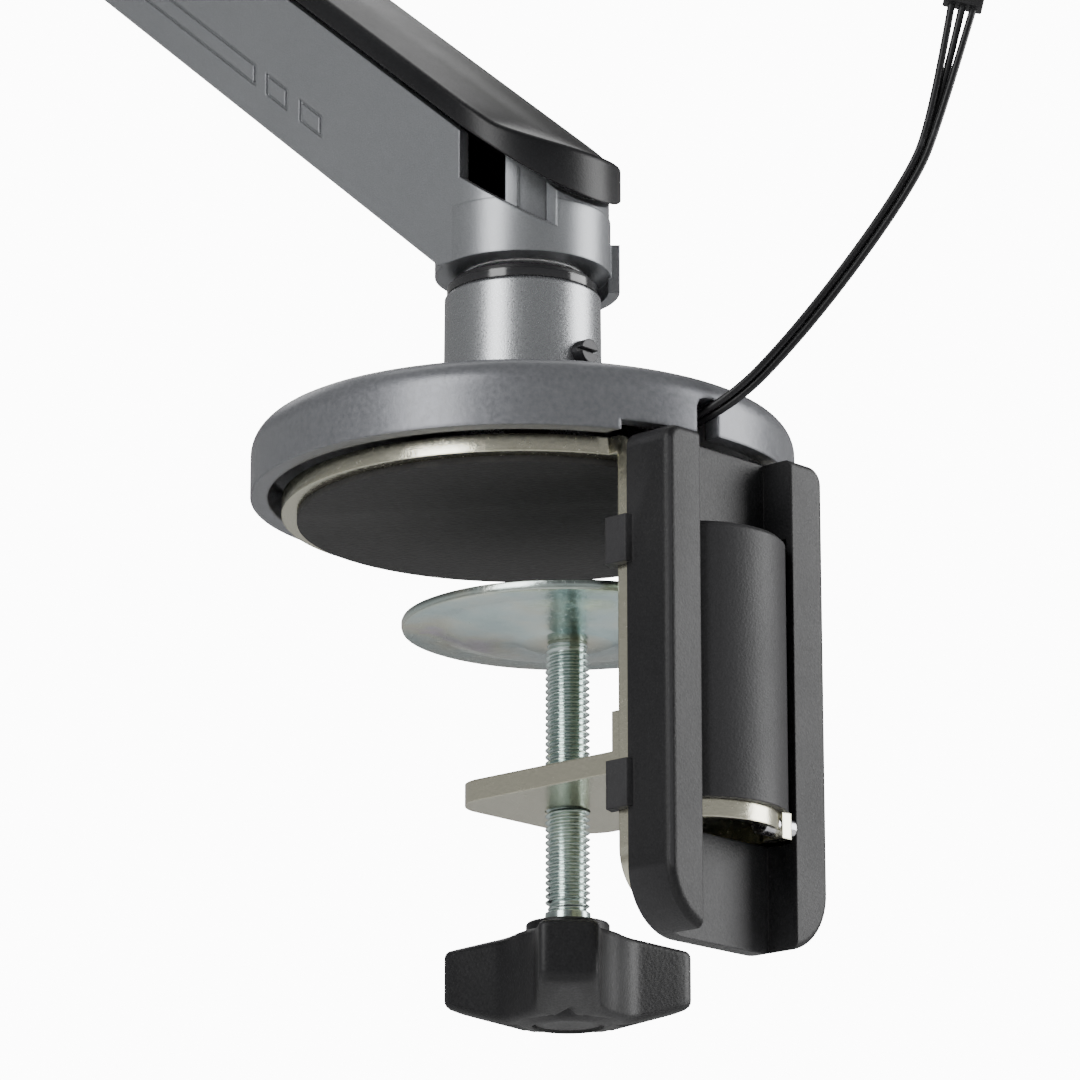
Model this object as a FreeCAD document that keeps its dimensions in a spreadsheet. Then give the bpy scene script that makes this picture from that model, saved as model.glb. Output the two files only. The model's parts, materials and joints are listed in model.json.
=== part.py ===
import FreeCAD, Part
import Sketcher
import math
import os
import re
from FreeCAD import Placement, Rotation, Vector

# Monitor arm: desk clamp, post, lower arm, gas-spring arm and screen plate.
# Units are millimetres. The origin is on the post axis at the desk-top face,
# +Z is up, +Y points over the desk and -Y points behind it.

doc = FreeCAD.newDocument("monitor_arm")
sheet = doc.addObject("Spreadsheet::Sheet", "Dims")
ALIASES = []
NODES = []


def dim(name, value, note=""):
    row = len(ALIASES) + 1
    sheet.set("A%d" % row, name)
    sheet.set("B%d" % row, str(value))
    sheet.set("C%d" % row, note)
    sheet.setAlias("B%d" % row, name)
    ALIASES.append(name)


# --- desk clamp -----------------------------------------------------------
dim("pad_thick", 1.5, "foam pad on the desk")
dim("plate_radius", 54.8, "round part of the clamp bracket")
dim("flange_top", 5.5)
dim("bracket_half", 25, "half width of the back plate")
dim("plate_rear", -55, "rear face of the back plate")
dim("plate_front", -51.5, "front face of the back plate")
dim("plate_foot", -98)
dim("plate_corner", 12)
dim("tongue_half", 22.5)
dim("tongue_top", -64)
dim("tongue_under", -68.8)
dim("tongue_lip", -55.2, "top of the leg of the tongue bracket")
dim("tongue_face", -47.3)
dim("tongue_bolts", -59.6, "height of the two screws in the leg")
dim("tongue_tip", 1.5)
dim("tongue_corner", 9)
dim("spindle_axis", -13.8, "Y of the clamp screw")
dim("spindle_major", 5)
dim("spindle_minor", 4.1)
dim("spindle_pitch", 1.5)
dim("spindle_top", -30.8)
dim("spindle_end", -92)
dim("thread_clearance", 0.05)
dim("press_radius", 37.3)
dim("press_top", -25)
dim("press_rim", 2.4)
dim("press_bowl", 29)
dim("press_neck", -30.5)
dim("knob_top", -94)
dim("knob_lobe_top", -96.6)
dim("knob_lobe_end", -111.5)
dim("knob_base", -118)
dim("knob_reach", 28.5)
dim("knob_lobe_half", 6.5)
dim("knob_core", 12.5)
dim("knob_angle", 222.8)
dim("knob_recess", 7.9)

# --- base cover and post --------------------------------------------------
dim("cover_radius", 62)
dim("cover_top", 22)
dim("cover_wall", 4)
dim("cover_fillet", 7)
dim("notch_half", 28)
dim("notch_top", 7.7)
dim("slot_left", -9.7)
dim("slot_right", -3.2)
dim("slot_top", 15.9)
dim("post_radius", 18)
dim("post_top", 54)
dim("post_foot_radius", 30)
dim("post_foot_top", 10)
dim("spigot_radius", 12)
dim("spigot_top", 70.3)
dim("post_bolt_circle", 24)
dim("grub_height", 37)
dim("ring_radius", 17.5)
dim("ring_top", 56)

# --- lower arm --------------------------------------------------------------
dim("hub_radius", 20.3)
dim("hub_under", 59)
dim("arm_half", 20)
dim("arm_slope", 0.824, "rise per millimetre of Y")
dim("arm_under", 52.6)
dim("arm_upper", 89.1)
dim("cap_under", 91)
dim("cap_upper", 98)
dim("cap_half", 22.7)
dim("collar_radius", 22.4)
dim("collar_low", 55.5)
dim("collar_high", 67)
dim("liner_bore", 12.05)
dim("liner_outer", 14)
dim("channel_half", 16)
dim("elbow_reach", 187, "horizontal distance between the two vertical axes")
dim("elbow_radius", 21)
dim("elbow_low", 204)
dim("elbow_top", 246)
dim("elbow_shaft", 8)
dim("elbow_bore", 8.05)

# --- cable housing ----------------------------------------------------------
dim("housing_half", 26)
dim("housing_front", -55)
dim("housing_rear", -67.3)
dim("housing_floor", -59)
dim("housing_top", 5.5)
dim("housing_foot", -104.8)
dim("housing_corner", 14)
dim("rail_inner", 15)
dim("rail_left", -16)
dim("band_radius", 18.9)
dim("window_half", 20.8)
dim("window_top", -12.5)
dim("window_foot", -81)
dim("barrel_radius", 20.5)
dim("barrel_top", -14)
dim("barrel_foot", -75.2)

# --- spring arm -------------------------------------------------------------
dim("pivot_near", -26, "X of the two fork pivots")
dim("arm_span", 230, "distance between fork and head pivots")
dim("pivot_high", 286)
dim("pivot_low", 264)
dim("pin_radius", 4)
dim("pin_bore", 4.05)
dim("cheek_in", 9)
dim("cheek_out", 12.7)
dim("wall_in", 13)
dim("wall_out", 17)
dim("head_axis", -290, "X of the head swivel")
dim("tilt_reach", 219, "Y of the tilt axis")
dim("tilt_height", 274)
dim("screen_face", 247.6, "Y of the face that takes the screen")
dim("screen_half", 60)
doc.recompute()

WORD = re.compile(r"[a-z]+(?:_[a-z]+)+")


def link(text):
    return WORD.sub(lambda hit: "Dims." + hit.group(0) if hit.group(0) in ALIASES else hit.group(0), str(text))


def number(text):
    found = sheet.evalExpression(link(text))
    return float(getattr(found, "Value", found))


def bind(thing, prop, text):
    thing.setExpression(prop, link(text))


# --- bodies with sketches -----------------------------------------------------

def new_body(name):
    body = doc.addObject("PartDesign::Body", "Body_" + name)
    body.Label = name
    return body


def sketch_on(body, name, role, offset):
    sk = body.newObject("Sketcher::SketchObject", name)
    plane = [item for item in body.Origin.OriginFeatures if item.Role == role][0]
    sk.AttachmentSupport = [(plane, "")]
    sk.MapMode = "FlatFace"
    bind(sk, "AttachmentOffset.Base.z", offset)
    return sk


def polygon(sk, points):
    first = sk.GeometryCount
    spots = [Vector(number(px), number(py), 0) for px, py in points]
    total = len(spots)
    for index in range(total):
        sk.addGeometry(Part.LineSegment(spots[index], spots[(index + 1) % total]), False)
    for index in range(total):
        sk.addConstraint(Sketcher.Constraint("Coincident", first + index, 2, first + (index + 1) % total, 1))
    for index, (px, py) in enumerate(points):
        for kind, text in (("DistanceX", px), ("DistanceY", py)):
            value = number(text)
            spot = sk.addConstraint(Sketcher.Constraint(kind, -1, 1, first + index, 1, value))
            if any(alias in str(text) for alias in ALIASES):
                sk.setExpression("Constraints[%d]" % spot, link(text))


def circle(sk, cx, cy, radius):
    geo = sk.GeometryCount
    centre = Vector(number(cx), number(cy), 0)
    sk.addGeometry(Part.Circle(centre, Vector(0, 0, 1), number(radius)), False)
    for kind, text in (("DistanceX", cx), ("DistanceY", cy)):
        spot = sk.addConstraint(Sketcher.Constraint(kind, -1, 1, geo, 3, number(text)))
        if any(alias in str(text) for alias in ALIASES):
            sk.setExpression("Constraints[%d]" % spot, link(text))
    spot = sk.addConstraint(Sketcher.Constraint("Radius", geo, number(radius)))
    sk.setExpression("Constraints[%d]" % spot, link(radius))


def capsule(sk, half, far):
    # straight-sided slot along Y with round ends, one on the origin
    first = sk.GeometryCount
    wide = number(half)
    top = number(far)
    low = 0
    sk.addGeometry(Part.LineSegment(Vector(-wide, low, 0), Vector(-wide, top, 0)), False)
    sk.addGeometry(Part.LineSegment(Vector(wide, top, 0), Vector(wide, low, 0)), False)
    up = Part.ArcOfCircle(Part.Circle(Vector(0, top, 0), Vector(0, 0, 1), wide), 0, math.pi)
    down = Part.ArcOfCircle(Part.Circle(Vector(0, low, 0), Vector(0, 0, 1), wide), math.pi, 2 * math.pi)
    sk.addGeometry(up, False)
    sk.addGeometry(down, False)
    add = sk.addConstraint
    add(Sketcher.Constraint("Tangent", first, 2, first + 2, 2))
    add(Sketcher.Constraint("Tangent", first + 1, 1, first + 2, 1))
    add(Sketcher.Constraint("Tangent", first, 1, first + 3, 1))
    add(Sketcher.Constraint("Tangent", first + 1, 2, first + 3, 2))
    add(Sketcher.Constraint("Coincident", first + 3, 3, -1, 1))
    add(Sketcher.Constraint("PointOnObject", first + 2, 3, -2))
    spot = add(Sketcher.Constraint("DistanceY", -1, 1, first + 2, 3, top))
    sk.setExpression("Constraints[%d]" % spot, link(far))
    spot = add(Sketcher.Constraint("Radius", first + 2, wide))
    sk.setExpression("Constraints[%d]" % spot, link(half))


def slab(body, name, role, draw, start, end, cut=False):
    # add or cut a prism between two world coordinates along the plane's normal
    flip = role == "XZ_Plane"
    near = start if flip else end
    if not cut:
        near = end if flip else start
    offset = "-(%s)" % near if flip else near
    sk = sketch_on(body, name + "_sketch", role, offset)
    draw(sk)
    kind = "PartDesign::Pocket" if cut else "PartDesign::Pad"
    feature = body.newObject(kind, name)
    feature.Profile = sk
    bind(feature, "Length", "(%s) - (%s)" % (end, start))
    body.Tip = feature
    return feature


def turned(body, name, points, cut=False, shift="0"):
    # profile given as radius, height; turned about the vertical axis of the sketch
    sk = sketch_on(body, name + "_sketch", "XZ_Plane", "-(%s)" % shift)
    polygon(sk, points)
    feature = body.newObject("PartDesign::Groove" if cut else "PartDesign::Revolution", name)
    feature.Profile = sk
    feature.ReferenceAxis = (sk, ["V_Axis"])
    feature.Angle = 360
    body.Tip = feature
    return feature


def soften(body, name, radius, wanted, chamfer=False):
    doc.recompute()
    base = body.Tip
    picked = []
    for index, edge in enumerate(base.Shape.Edges):
        if wanted(edge):
            picked.append("Edge%d" % (index + 1))
    if not picked:
        raise RuntimeError("no edge found for " + name)
    feature = body.newObject("PartDesign::Chamfer" if chamfer else "PartDesign::Fillet", name)
    feature.Base = (base, picked)
    bind(feature, "Size" if chamfer else "Radius", radius)
    body.Tip = feature
    return feature


def ring_edge(radius, height, tol=0.05):
    def test(edge):
        curve = edge.Curve
        if not isinstance(curve, Part.Circle):
            return False
        return abs(curve.Radius - radius) < tol and abs(curve.Center.z - height) < tol
    return test


def upright_at(spots, tol=0.2):
    def test(edge):
        box = edge.BoundBox
        if box.ZLength < 0.5 or box.XLength > tol or box.YLength > tol:
            return False
        for sx, sy in spots:
            if abs(box.XMin - sx) < tol and abs(box.YMin - sy) < tol:
                return True
        return False
    return test


def along_y(spots, tol=0.2):
    def test(edge):
        box = edge.BoundBox
        if box.YLength < 0.5 or box.XLength > tol or box.ZLength > tol:
            return False
        for sx, sz in spots:
            if abs(box.XMin - sx) < tol and abs(box.ZMin - sz) < tol:
                return True
        return False
    return test


def place(thing, x, y, z, spin=None):
    thing.Placement = Placement(Vector(0, 0, 0), spin if spin else Rotation())
    for prop, text in (("x", x), ("y", y), ("z", z)):
        if str(text) != "0":
            bind(thing, "Placement.Base." + prop, text)


def finish(thing, name, x="0", y="0", z="0", spin=None):
    thing.Label = name
    if thing.TypeId == "PartDesign::Body":
        place(thing, x, y, z, spin)
    NODES.append(thing)
    return thing


# --- primitives ---------------------------------------------------------------

def cylinder(name, radius, height, x="0", y="0", z="0", spin=None):
    thing = doc.addObject("Part::Cylinder", name)
    bind(thing, "Radius", radius)
    bind(thing, "Height", height)
    place(thing, x, y, z, spin)
    return thing


def block(name, x_from, x_to, y_from, y_to, z_from, z_to):
    thing = doc.addObject("Part::Box", name)
    bind(thing, "Length", "(%s) - (%s)" % (x_to, x_from))
    bind(thing, "Width", "(%s) - (%s)" % (y_to, y_from))
    bind(thing, "Height", "(%s) - (%s)" % (z_to, z_from))
    bind(thing, "Placement.Base.x", x_from)
    bind(thing, "Placement.Base.y", y_from)
    bind(thing, "Placement.Base.z", z_from)
    return thing


def hexagon(name, across, height, x="0", y="0", z="0", spin=None):
    thing = doc.addObject("Part::Prism", name)
    thing.Polygon = 6
    bind(thing, "Circumradius", "(%s) / 1.7320508" % across)
    bind(thing, "Height", height)
    place(thing, x, y, z, spin)
    return thing


def joined(name, pieces):
    thing = doc.addObject("Part::MultiFuse", name)
    thing.Shapes = pieces
    thing.Refine = True
    return thing


def minus(name, base, tool):
    thing = doc.addObject("Part::Cut", name)
    thing.Base = base
    thing.Tool = tool
    return thing


def grouped(name, pieces):
    thing = doc.addObject("Part::Compound", name)
    thing.Links = pieces
    return thing


def socket_screw(name, shank, length, head, head_high, drive, x, y, z, spin=None):
    # head stands on the local XY plane, shank runs down from it
    shaft = cylinder(name + "_shaft", shank, length, "0", "0", "-(%s)" % length)
    cap = cylinder(name + "_cap", head, head_high)
    whole = joined(name + "_whole", [shaft, cap])
    drive_hole = hexagon(name + "_drive", drive, head_high, "0", "0", "(%s) * 0.45" % head_high)
    screw = minus(name, whole, drive_hole)
    place(screw, x, y, z, spin)
    return screw


TO_BACK = Rotation(Vector(1, 0, 0), 90)     # local +Z turns to -Y
TO_FRONT = Rotation(Vector(1, 0, 0), -90)   # local +Z turns to +Y
TO_RIGHT = Rotation(Vector(0, 1, 0), 90)    # local +Z turns to +X
TO_LEFT = Rotation(Vector(0, 1, 0), -90)    # local +Z turns to -X


# --- desk clamp ---------------------------------------------------------------

def clamp_bracket():
    body = new_body("clamp_bracket")
    slab(body, "round_plate", "XY_Plane", lambda sk: circle(sk, "0", "0", "plate_radius"),
         "pad_thick", "flange_top")
    slab(body, "rear_strip", "XY_Plane", lambda sk: polygon(sk, [
        ("-bracket_half", "plate_rear"), ("bracket_half", "plate_rear"),
        ("bracket_half", "-20"), ("-bracket_half", "-20")]), "pad_thick", "flange_top")
    slab(body, "back_plate", "XZ_Plane", lambda sk: polygon(sk, [
        ("-bracket_half", "plate_foot"), ("bracket_half", "plate_foot"),
        ("bracket_half", "flange_top"), ("-bracket_half", "flange_top")]), "plate_rear", "plate_front")
    half = number("bracket_half")
    low = number("plate_foot")
    soften(body, "foot_corners", "plate_corner", along_y([(-half, low), (half, low)]))
    rear = number("plate_rear")
    high = number("flange_top")

    def bend(edge):
        box = edge.BoundBox
        return box.XLength > 40 and abs(box.YMin - rear) < 0.1 and abs(box.ZMin - high) < 0.1 and box.YLength < 0.1
    soften(body, "bend", "flange_top - pad_thick - 0.4", bend)
    slab(body, "post_hole", "XY_Plane", lambda sk: circle(sk, "0", "0", "7"), "0", "flange_top", cut=True)
    slab(body, "bolt_holes", "XY_Plane", lambda sk: [circle(sk, *spot, "3") for spot in BOLT_SPOTS],
         "0", "flange_top", cut=True)
    slab(body, "tongue_holes", "XZ_Plane", lambda sk: [circle(sk, side, "tongue_bolts", "2.5") for side in ("-13", "13")],
         "plate_rear", "plate_front", cut=True)
    finish(body, "clamp_bracket")


BOLT_SPOTS = (("post_bolt_circle * 0.7071", "post_bolt_circle * 0.7071"),
              ("-post_bolt_circle * 0.7071", "post_bolt_circle * 0.7071"),
              ("post_bolt_circle * 0.7071", "-post_bolt_circle * 0.7071"),
              ("-post_bolt_circle * 0.7071", "-post_bolt_circle * 0.7071"))


def bracket_tongue():
    body = new_body("bracket_tongue")
    slab(body, "shelf", "XY_Plane", lambda sk: polygon(sk, [
        ("-tongue_half", "plate_front"), ("tongue_half", "plate_front"),
        ("tongue_half", "tongue_tip"), ("-tongue_half", "tongue_tip")]), "tongue_under", "tongue_top")
    slab(body, "leg", "XZ_Plane", lambda sk: polygon(sk, [
        ("-tongue_half", "tongue_under"), ("tongue_half", "tongue_under"),
        ("tongue_half", "tongue_lip"), ("-tongue_half", "tongue_lip")]), "plate_front", "tongue_face")
    half = number("tongue_half")
    tip = number("tongue_tip")
    soften(body, "tip_corners", "tongue_corner", upright_at([(-half, tip), (half, tip)]))
    inner = number("plate_front")
    under = number("tongue_under")

    def bend(edge):
        box = edge.BoundBox
        return box.XLength > 40 and abs(box.YMin - inner) < 0.1 and abs(box.ZMin - under) < 0.1 and box.YLength < 0.1
    soften(body, "bend", "4", bend)
    slab(body, "screw_hole", "XY_Plane", lambda sk: circle(
        sk, "0", "spindle_axis", "spindle_major + thread_clearance"), "tongue_under", "tongue_top", cut=True)
    slab(body, "leg_holes", "XZ_Plane", lambda sk: [circle(sk, side, "tongue_bolts", "2.5") for side in ("-13", "13")],
         "plate_front", "tongue_face", cut=True)
    finish(body, "bracket_tongue")
    screws = []
    for side in ("-13", "13"):
        tag = "left" if side == "-13" else "right"
        screws.append(socket_screw("tongue_screw_" + tag, "2.5", "tongue_face - plate_rear - 0.3", "4.1", "2.2", "2.6",
                                   side, "tongue_face", "tongue_bolts", TO_FRONT))
    finish(grouped("Screws_of_tongue", screws), "tongue_screws")


def desk_pad():
    body = new_body("desk_pad")
    slab(body, "sheet", "XY_Plane", lambda sk: circle(sk, "0", "0", "plate_radius - 3.5"), "0", "pad_thick")
    finish(body, "desk_pad")


def pressure_plate():
    body = new_body("pressure_plate")
    turned(body, "dish", [
        ("spindle_minor + thread_clearance", "press_top - press_rim"), ("spindle_major + 3.5", "press_top - press_rim"),
        ("press_bowl - 5.5", "press_top - 1.4"), ("press_bowl - 1", "press_top"), ("press_radius", "press_top"),
        ("press_radius", "press_top - press_rim"), ("press_bowl", "press_top - press_rim"),
        ("press_bowl - 5", "press_top - press_rim - 1.6"), ("13", "press_neck + 0.6"), ("10.5", "press_neck"),
        ("spindle_minor + thread_clearance", "press_neck")])
    finish(body, "pressure_plate", "0", "spindle_axis", "0")


def clamp_screw():
    body = new_body("clamp_screw")
    turned(body, "rod", [
        ("0", "knob_top - 20"), ("5.6", "knob_top - 20"), ("5.6", "knob_top"), ("spindle_major", "spindle_end"),
        ("spindle_major", "spindle_top - 0.6"), ("spindle_major - 0.6", "spindle_top"), ("4.1", "spindle_top"),
        ("4.1", "press_top - press_rim + 0.3"), ("0", "press_top - press_rim + 0.3")])
    groove = turned(body, "thread_groove", [
        ("spindle_minor", "spindle_top - 2.1"), ("spindle_major + 0.4", "spindle_top - 1.35"),
        ("spindle_major + 0.4", "spindle_top - 2.85")], cut=True)
    pattern = body.newObject("PartDesign::LinearPattern", "thread")
    pattern.Originals = [groove]
    axis = [item for item in body.Origin.OriginFeatures if item.Role == "Z_Axis"][0]
    pattern.Direction = (axis, [""])
    pattern.Reversed = True
    bind(pattern, "Length", "spindle_pitch * 38")
    pattern.Occurrences = 39
    body.Tip = pattern
    finish(body, "clamp_screw", "0", "spindle_axis", "0")
    finish(cylinder("Rivet_disc", "7", "0.9", "0", "spindle_axis", "press_top - press_rim + 0.3"), "screw_rivet")


def knob():
    body = new_body("knob")
    turned(body, "core", [
        ("0", "knob_base"), ("5", "knob_base"), ("9", "knob_base + 0.9"), ("knob_core", "knob_base + 3.2"),
        ("knob_core", "knob_lobe_top - 0.8"), ("9.3", "knob_lobe_top - 0.2"), ("9.3", "knob_top"),
        ("0", "knob_top")])
    for index, turn in enumerate((0, 120, 240)):
        lobe(body, index, turn)
    turned(body, "top_fall", [("9.4", "knob_lobe_top"), ("34", "knob_lobe_top - 2.4"), ("34", "knob_top + 4"),
                              ("9.4", "knob_top + 4")], cut=True)
    turned(body, "base_rise", [("knob_core + 0.6", "knob_base + 1.6"), ("knob_reach", "knob_lobe_end"),
                               ("34", "knob_lobe_end + 1.6"), ("34", "knob_base - 6"),
                               ("knob_core + 0.6", "knob_base - 6")], cut=True)
    turned(body, "screw_socket", [("0", "knob_top - 20"), ("5.6", "knob_top - 20"), ("5.6", "knob_top"),
                                  ("0", "knob_top")], cut=True)
    turned(body, "cap_recess", [("0", "knob_base"), ("knob_recess", "knob_base"),
                                ("knob_recess", "knob_base + 2.2"), ("0", "knob_base + 2.2")], cut=True)
    finish(body, "knob", "0", "spindle_axis", "0")
    finish(cylinder("Knob_disc", "knob_recess - 0.1", "1.2", "0", "spindle_axis", "knob_base + 1"), "knob_cap")


def lobe(body, index, turn):
    angle = math.radians(number("knob_angle") + turn)
    ux = "%.6f" % math.cos(angle)
    uy = "%.6f" % math.sin(angle)
    inner = "4"

    def spot(reach, side):
        px = "%s * %s - (%s) * %s" % (reach, ux, side, uy)
        py = "%s * %s + (%s) * %s" % (reach, uy, side, ux)
        return (px, py)
    ends = [spot("knob_reach", "-knob_lobe_half"), spot("knob_reach", "knob_lobe_half")]
    slab(body, "lobe_%s" % "abc"[index], "XY_Plane", lambda sk: polygon(sk, [
        spot(inner, "-knob_lobe_half - 1.5"), ends[0], ends[1], spot(inner, "knob_lobe_half + 1.5")]),
        "knob_base + 1", "knob_lobe_top")
    soften(body, "lobe_corners_%s" % "abc"[index], "1.4",
           upright_at([(number(px), number(py)) for px, py in ends]))


# --- base cover and post --------------------------------------------------------

def base_cover():
    body = new_body("base_cover")
    turned(body, "shell", [
        ("post_radius + 0.4", "cover_top"), ("cover_radius", "cover_top"), ("cover_radius", "flange_top"),
        ("cover_radius - cover_wall", "flange_top"), ("cover_radius - cover_wall", "cover_top - cover_wall - 5"),
        ("cover_radius - cover_wall - 5", "cover_top - cover_wall"), ("post_radius + 0.4", "cover_top - cover_wall")])
    soften(body, "top_edge", "cover_fillet", ring_edge(number("cover_radius"), number("cover_top")))
    slab(body, "bracket_notch", "XZ_Plane", lambda sk: polygon(sk, [
        ("-notch_half", "flange_top - 1"), ("notch_half", "flange_top - 1"),
        ("notch_half", "notch_top"), ("-notch_half", "notch_top")]), "-cover_radius - 2", "-35", cut=True)
    slab(body, "wire_slot", "XZ_Plane", lambda sk: polygon(sk, [
        ("slot_left", "flange_top"), ("slot_right", "flange_top"), ("slot_right", "slot_top - 1.6"),
        ("slot_right - 0.5", "slot_top - 0.5"), ("slot_right - 1.6", "slot_top"), ("slot_left + 2.4", "slot_top"),
        ("slot_left + 0.7", "slot_top - 0.7"), ("slot_left", "slot_top - 2.4")]),
        "-cover_radius - 2", "-50", cut=True)
    finish(body, "base_cover")


def post():
    body = new_body("post")
    turned(body, "column", [
        ("6", "flange_top"), ("post_foot_radius", "flange_top"), ("post_foot_radius", "post_foot_top"),
        ("post_radius + 0.3", "post_foot_top"), ("post_radius", "post_top - 0.8"), ("post_radius - 0.8", "post_top"),
        ("spigot_radius", "post_top"), ("spigot_radius", "spigot_top"), ("4", "spigot_top"), ("4", "48"),
        ("6", "44")])
    slab(body, "foot_holes", "XY_Plane", lambda sk: [circle(sk, *spot, "3") for spot in BOLT_SPOTS],
         "flange_top", "post_foot_top", cut=True)
    slab(body, "grub_hole", "XZ_Plane", lambda sk: circle(sk, "0", "grub_height", "2.75"),
         "-post_radius - 1", "-9", cut=True)
    finish(body, "post")
    bolts = []
    for tag, spot in zip(("a", "b", "c", "d"), BOLT_SPOTS):
        bolts.append(socket_screw("Foot_bolt_" + tag, "3", "post_foot_top - pad_thick", "5", "5.5", "5",
                                  spot[0], spot[1], "post_foot_top"))
    finish(grouped("Bolts_of_post", bolts), "post_bolts")
    stud = cylinder("Grub_stud", "2.75", "post_radius + 3 - 10", "0", "-10", "grub_height", TO_BACK)
    slit = block("Grub_slit", "-2.75", "2.75", "-post_radius - 3", "-post_radius - 1.4",
                 "grub_height - 0.45", "grub_height + 0.45")
    finish(minus("Grub_screw", stud, slit), "post_setscrew")
    outer = cylinder("Ring_outer", "ring_radius", "ring_top - post_top", "0", "0", "post_top")
    bore = cylinder("Ring_bore", "spigot_radius + 0.02", "ring_top - post_top", "0", "0", "post_top")
    finish(minus("Ring", outer, bore), "post_bushing")
    thin = cylinder("Thin_outer", "ring_radius - 1.3", "1.4", "0", "0", "ring_top")
    hole = cylinder("Thin_bore", "spigot_radius + 0.02", "1.4", "0", "0", "ring_top")
    finish(minus("Thin_ring", thin, hole), "thrust_ring")
    disc = cylinder("Keeper_disc", "13.8", "2.2", "0", "0", "spigot_top")
    eye = cylinder("Keeper_eye", "4", "2.2", "0", "0", "spigot_top")
    finish(minus("Keeper", disc, eye), "hub_washer")
    finish(socket_screw("Hub_bolt", "4", "2.2 + spigot_top - 50", "7", "4", "5", "0", "0", "spigot_top + 2.2"),
           "hub_screw")


# --- cable housing ----------------------------------------------------------------

def cable_housing():
    body = new_body("cable_housing")
    slab(body, "trough", "XZ_Plane", lambda sk: polygon(sk, [
        ("-housing_half", "housing_foot"), ("housing_half", "housing_foot"),
        ("housing_half", "housing_top"), ("-housing_half", "housing_top")]), "housing_rear", "plate_rear")
    half = number("housing_half")
    low = number("housing_foot")
    high = number("housing_top")
    soften(body, "foot_corners", "housing_corner", along_y([(-half, low), (half, low)]))
    soften(body, "top_corners", "4", along_y([(-half, high), (half, high)]))
    slab(body, "recess", "XZ_Plane", lambda sk: polygon(sk, [
        ("rail_left", "housing_foot - 1"), ("rail_inner", "housing_foot - 1"),
        ("rail_inner", "housing_top + 1"), ("rail_left", "housing_top + 1")]),
        "housing_rear - 1", "housing_floor", cut=True)
    slab(body, "window", "XZ_Plane", lambda sk: polygon(sk, [
        ("-window_half", "window_foot"), ("window_half", "window_foot"),
        ("window_half", "window_top"), ("-window_half", "window_top")]),
        "housing_rear + 1.9", "plate_rear", cut=True)
    rear = number("housing_rear")

    def rim(edge):
        box = edge.BoundBox
        on_rear = abs(box.YMin - rear) < 0.05 and abs(box.YMax - rear) < 0.05
        outside = max(abs(box.XMin), abs(box.XMax)) > half - 14.5 and box.ZMin < high - 1
        inner_line = box.XLength < 0.1 and max(abs(box.XMin), abs(box.XMax)) < 16
        return on_rear and outside and not inner_line and box.ZMax < high + 0.1 and outer_line(box, half)
    soften(body, "rear_edge", "1.8", rim)
    for tag, low_z, high_z in (("upper", "-24", "-13.5"), ("lower", "-78", "-67.5")):
        for side in ("left", "right"):
            tab(body, tag, side, low_z, high_z)
    finish(body, "cable_housing")


def outer_line(box, half):
    return box.XLength < 0.1 and abs(abs(box.XMin) - half) < 0.1


def tab(body, tag, side, low_z, high_z):
    sign = "-" if side == "left" else ""
    slab(body, "tab_%s_%s" % (tag, side), "XY_Plane", lambda sk: polygon(sk, [
        (sign + "(bracket_half + 0.1)", "plate_rear - 2"), (sign + "(housing_half + 1.6)", "plate_rear - 1"),
        (sign + "(housing_half + 1.6)", "plate_front + 1.4"), (sign + "(bracket_half - 0.6)", "plate_front + 2.6"),
        (sign + "(bracket_half - 0.6)", "plate_front + 0.1"), (sign + "(bracket_half + 0.1)", "plate_front + 0.1")]),
        low_z, high_z)


def barrel():
    body = new_body("barrel")
    turned(body, "drum", [
        ("0", "barrel_foot"), ("barrel_radius", "barrel_foot"), ("barrel_radius", "barrel_top - 1"),
        ("barrel_radius - 1", "barrel_top"), ("0", "barrel_top")])
    slab(body, "flat", "XY_Plane", lambda sk: polygon(sk, [
        ("-30", "plate_rear + 51"), ("30", "plate_rear + 51"), ("30", "30"), ("-30", "30")]),
        "barrel_foot - 5", "barrel_top + 5", cut=True)
    finish(body, "barrel", "0", "-51", "0")
    band_body = new_body("barrel_band")
    turned(band_body, "hoop", [
        ("band_radius - 1.2", "barrel_foot - 4.1"), ("band_radius", "barrel_foot - 4.1"),
        ("band_radius", "barrel_foot"), ("band_radius - 1.2", "barrel_foot")])
    slab(band_body, "flat", "XY_Plane", lambda sk: polygon(sk, [
        ("-30", "plate_rear + 51"), ("30", "plate_rear + 51"), ("30", "30"), ("-30", "30")]),
        "barrel_foot - 9", "barrel_top + 5", cut=True)
    slab(band_body, "ear", "YZ_Plane", lambda sk: polygon(sk, [
        ("-17", "barrel_foot - 5.8"), ("-11.4", "barrel_foot - 5.8"), ("-11.4", "barrel_foot"), ("-17", "barrel_foot")]),
        "9.5", "12.5")
    slab(band_body, "ear_hole", "YZ_Plane", lambda sk: circle(sk, "-14.4", "barrel_foot - 2.8", "2.4"),
         "4.5", "16", cut=True)
    finish(band_body, "barrel_band", "0", "-51", "0")
    finish(cylinder("Band_bolt", "2.4", "9.6", "5", "-65.4", "barrel_foot - 2.8", TO_RIGHT), "band_screw")


# --- lower arm ----------------------------------------------------------------------

def slope_points(shift, start, stop):
    return [(start, "%s + arm_slope * (%s)" % (shift, start)), (stop, "%s + arm_slope * (%s)" % (shift, stop))]


def trim_plan(body, name, half, far, low, high):
    def draw(sk):
        polygon(sk, [("-90", "-90"), ("90", "-90"), ("90", "elbow_reach + 90"), ("-90", "elbow_reach + 90")])
        capsule(sk, half, far)
    slab(body, name, "XY_Plane", draw, low, high, cut=True)


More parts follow.
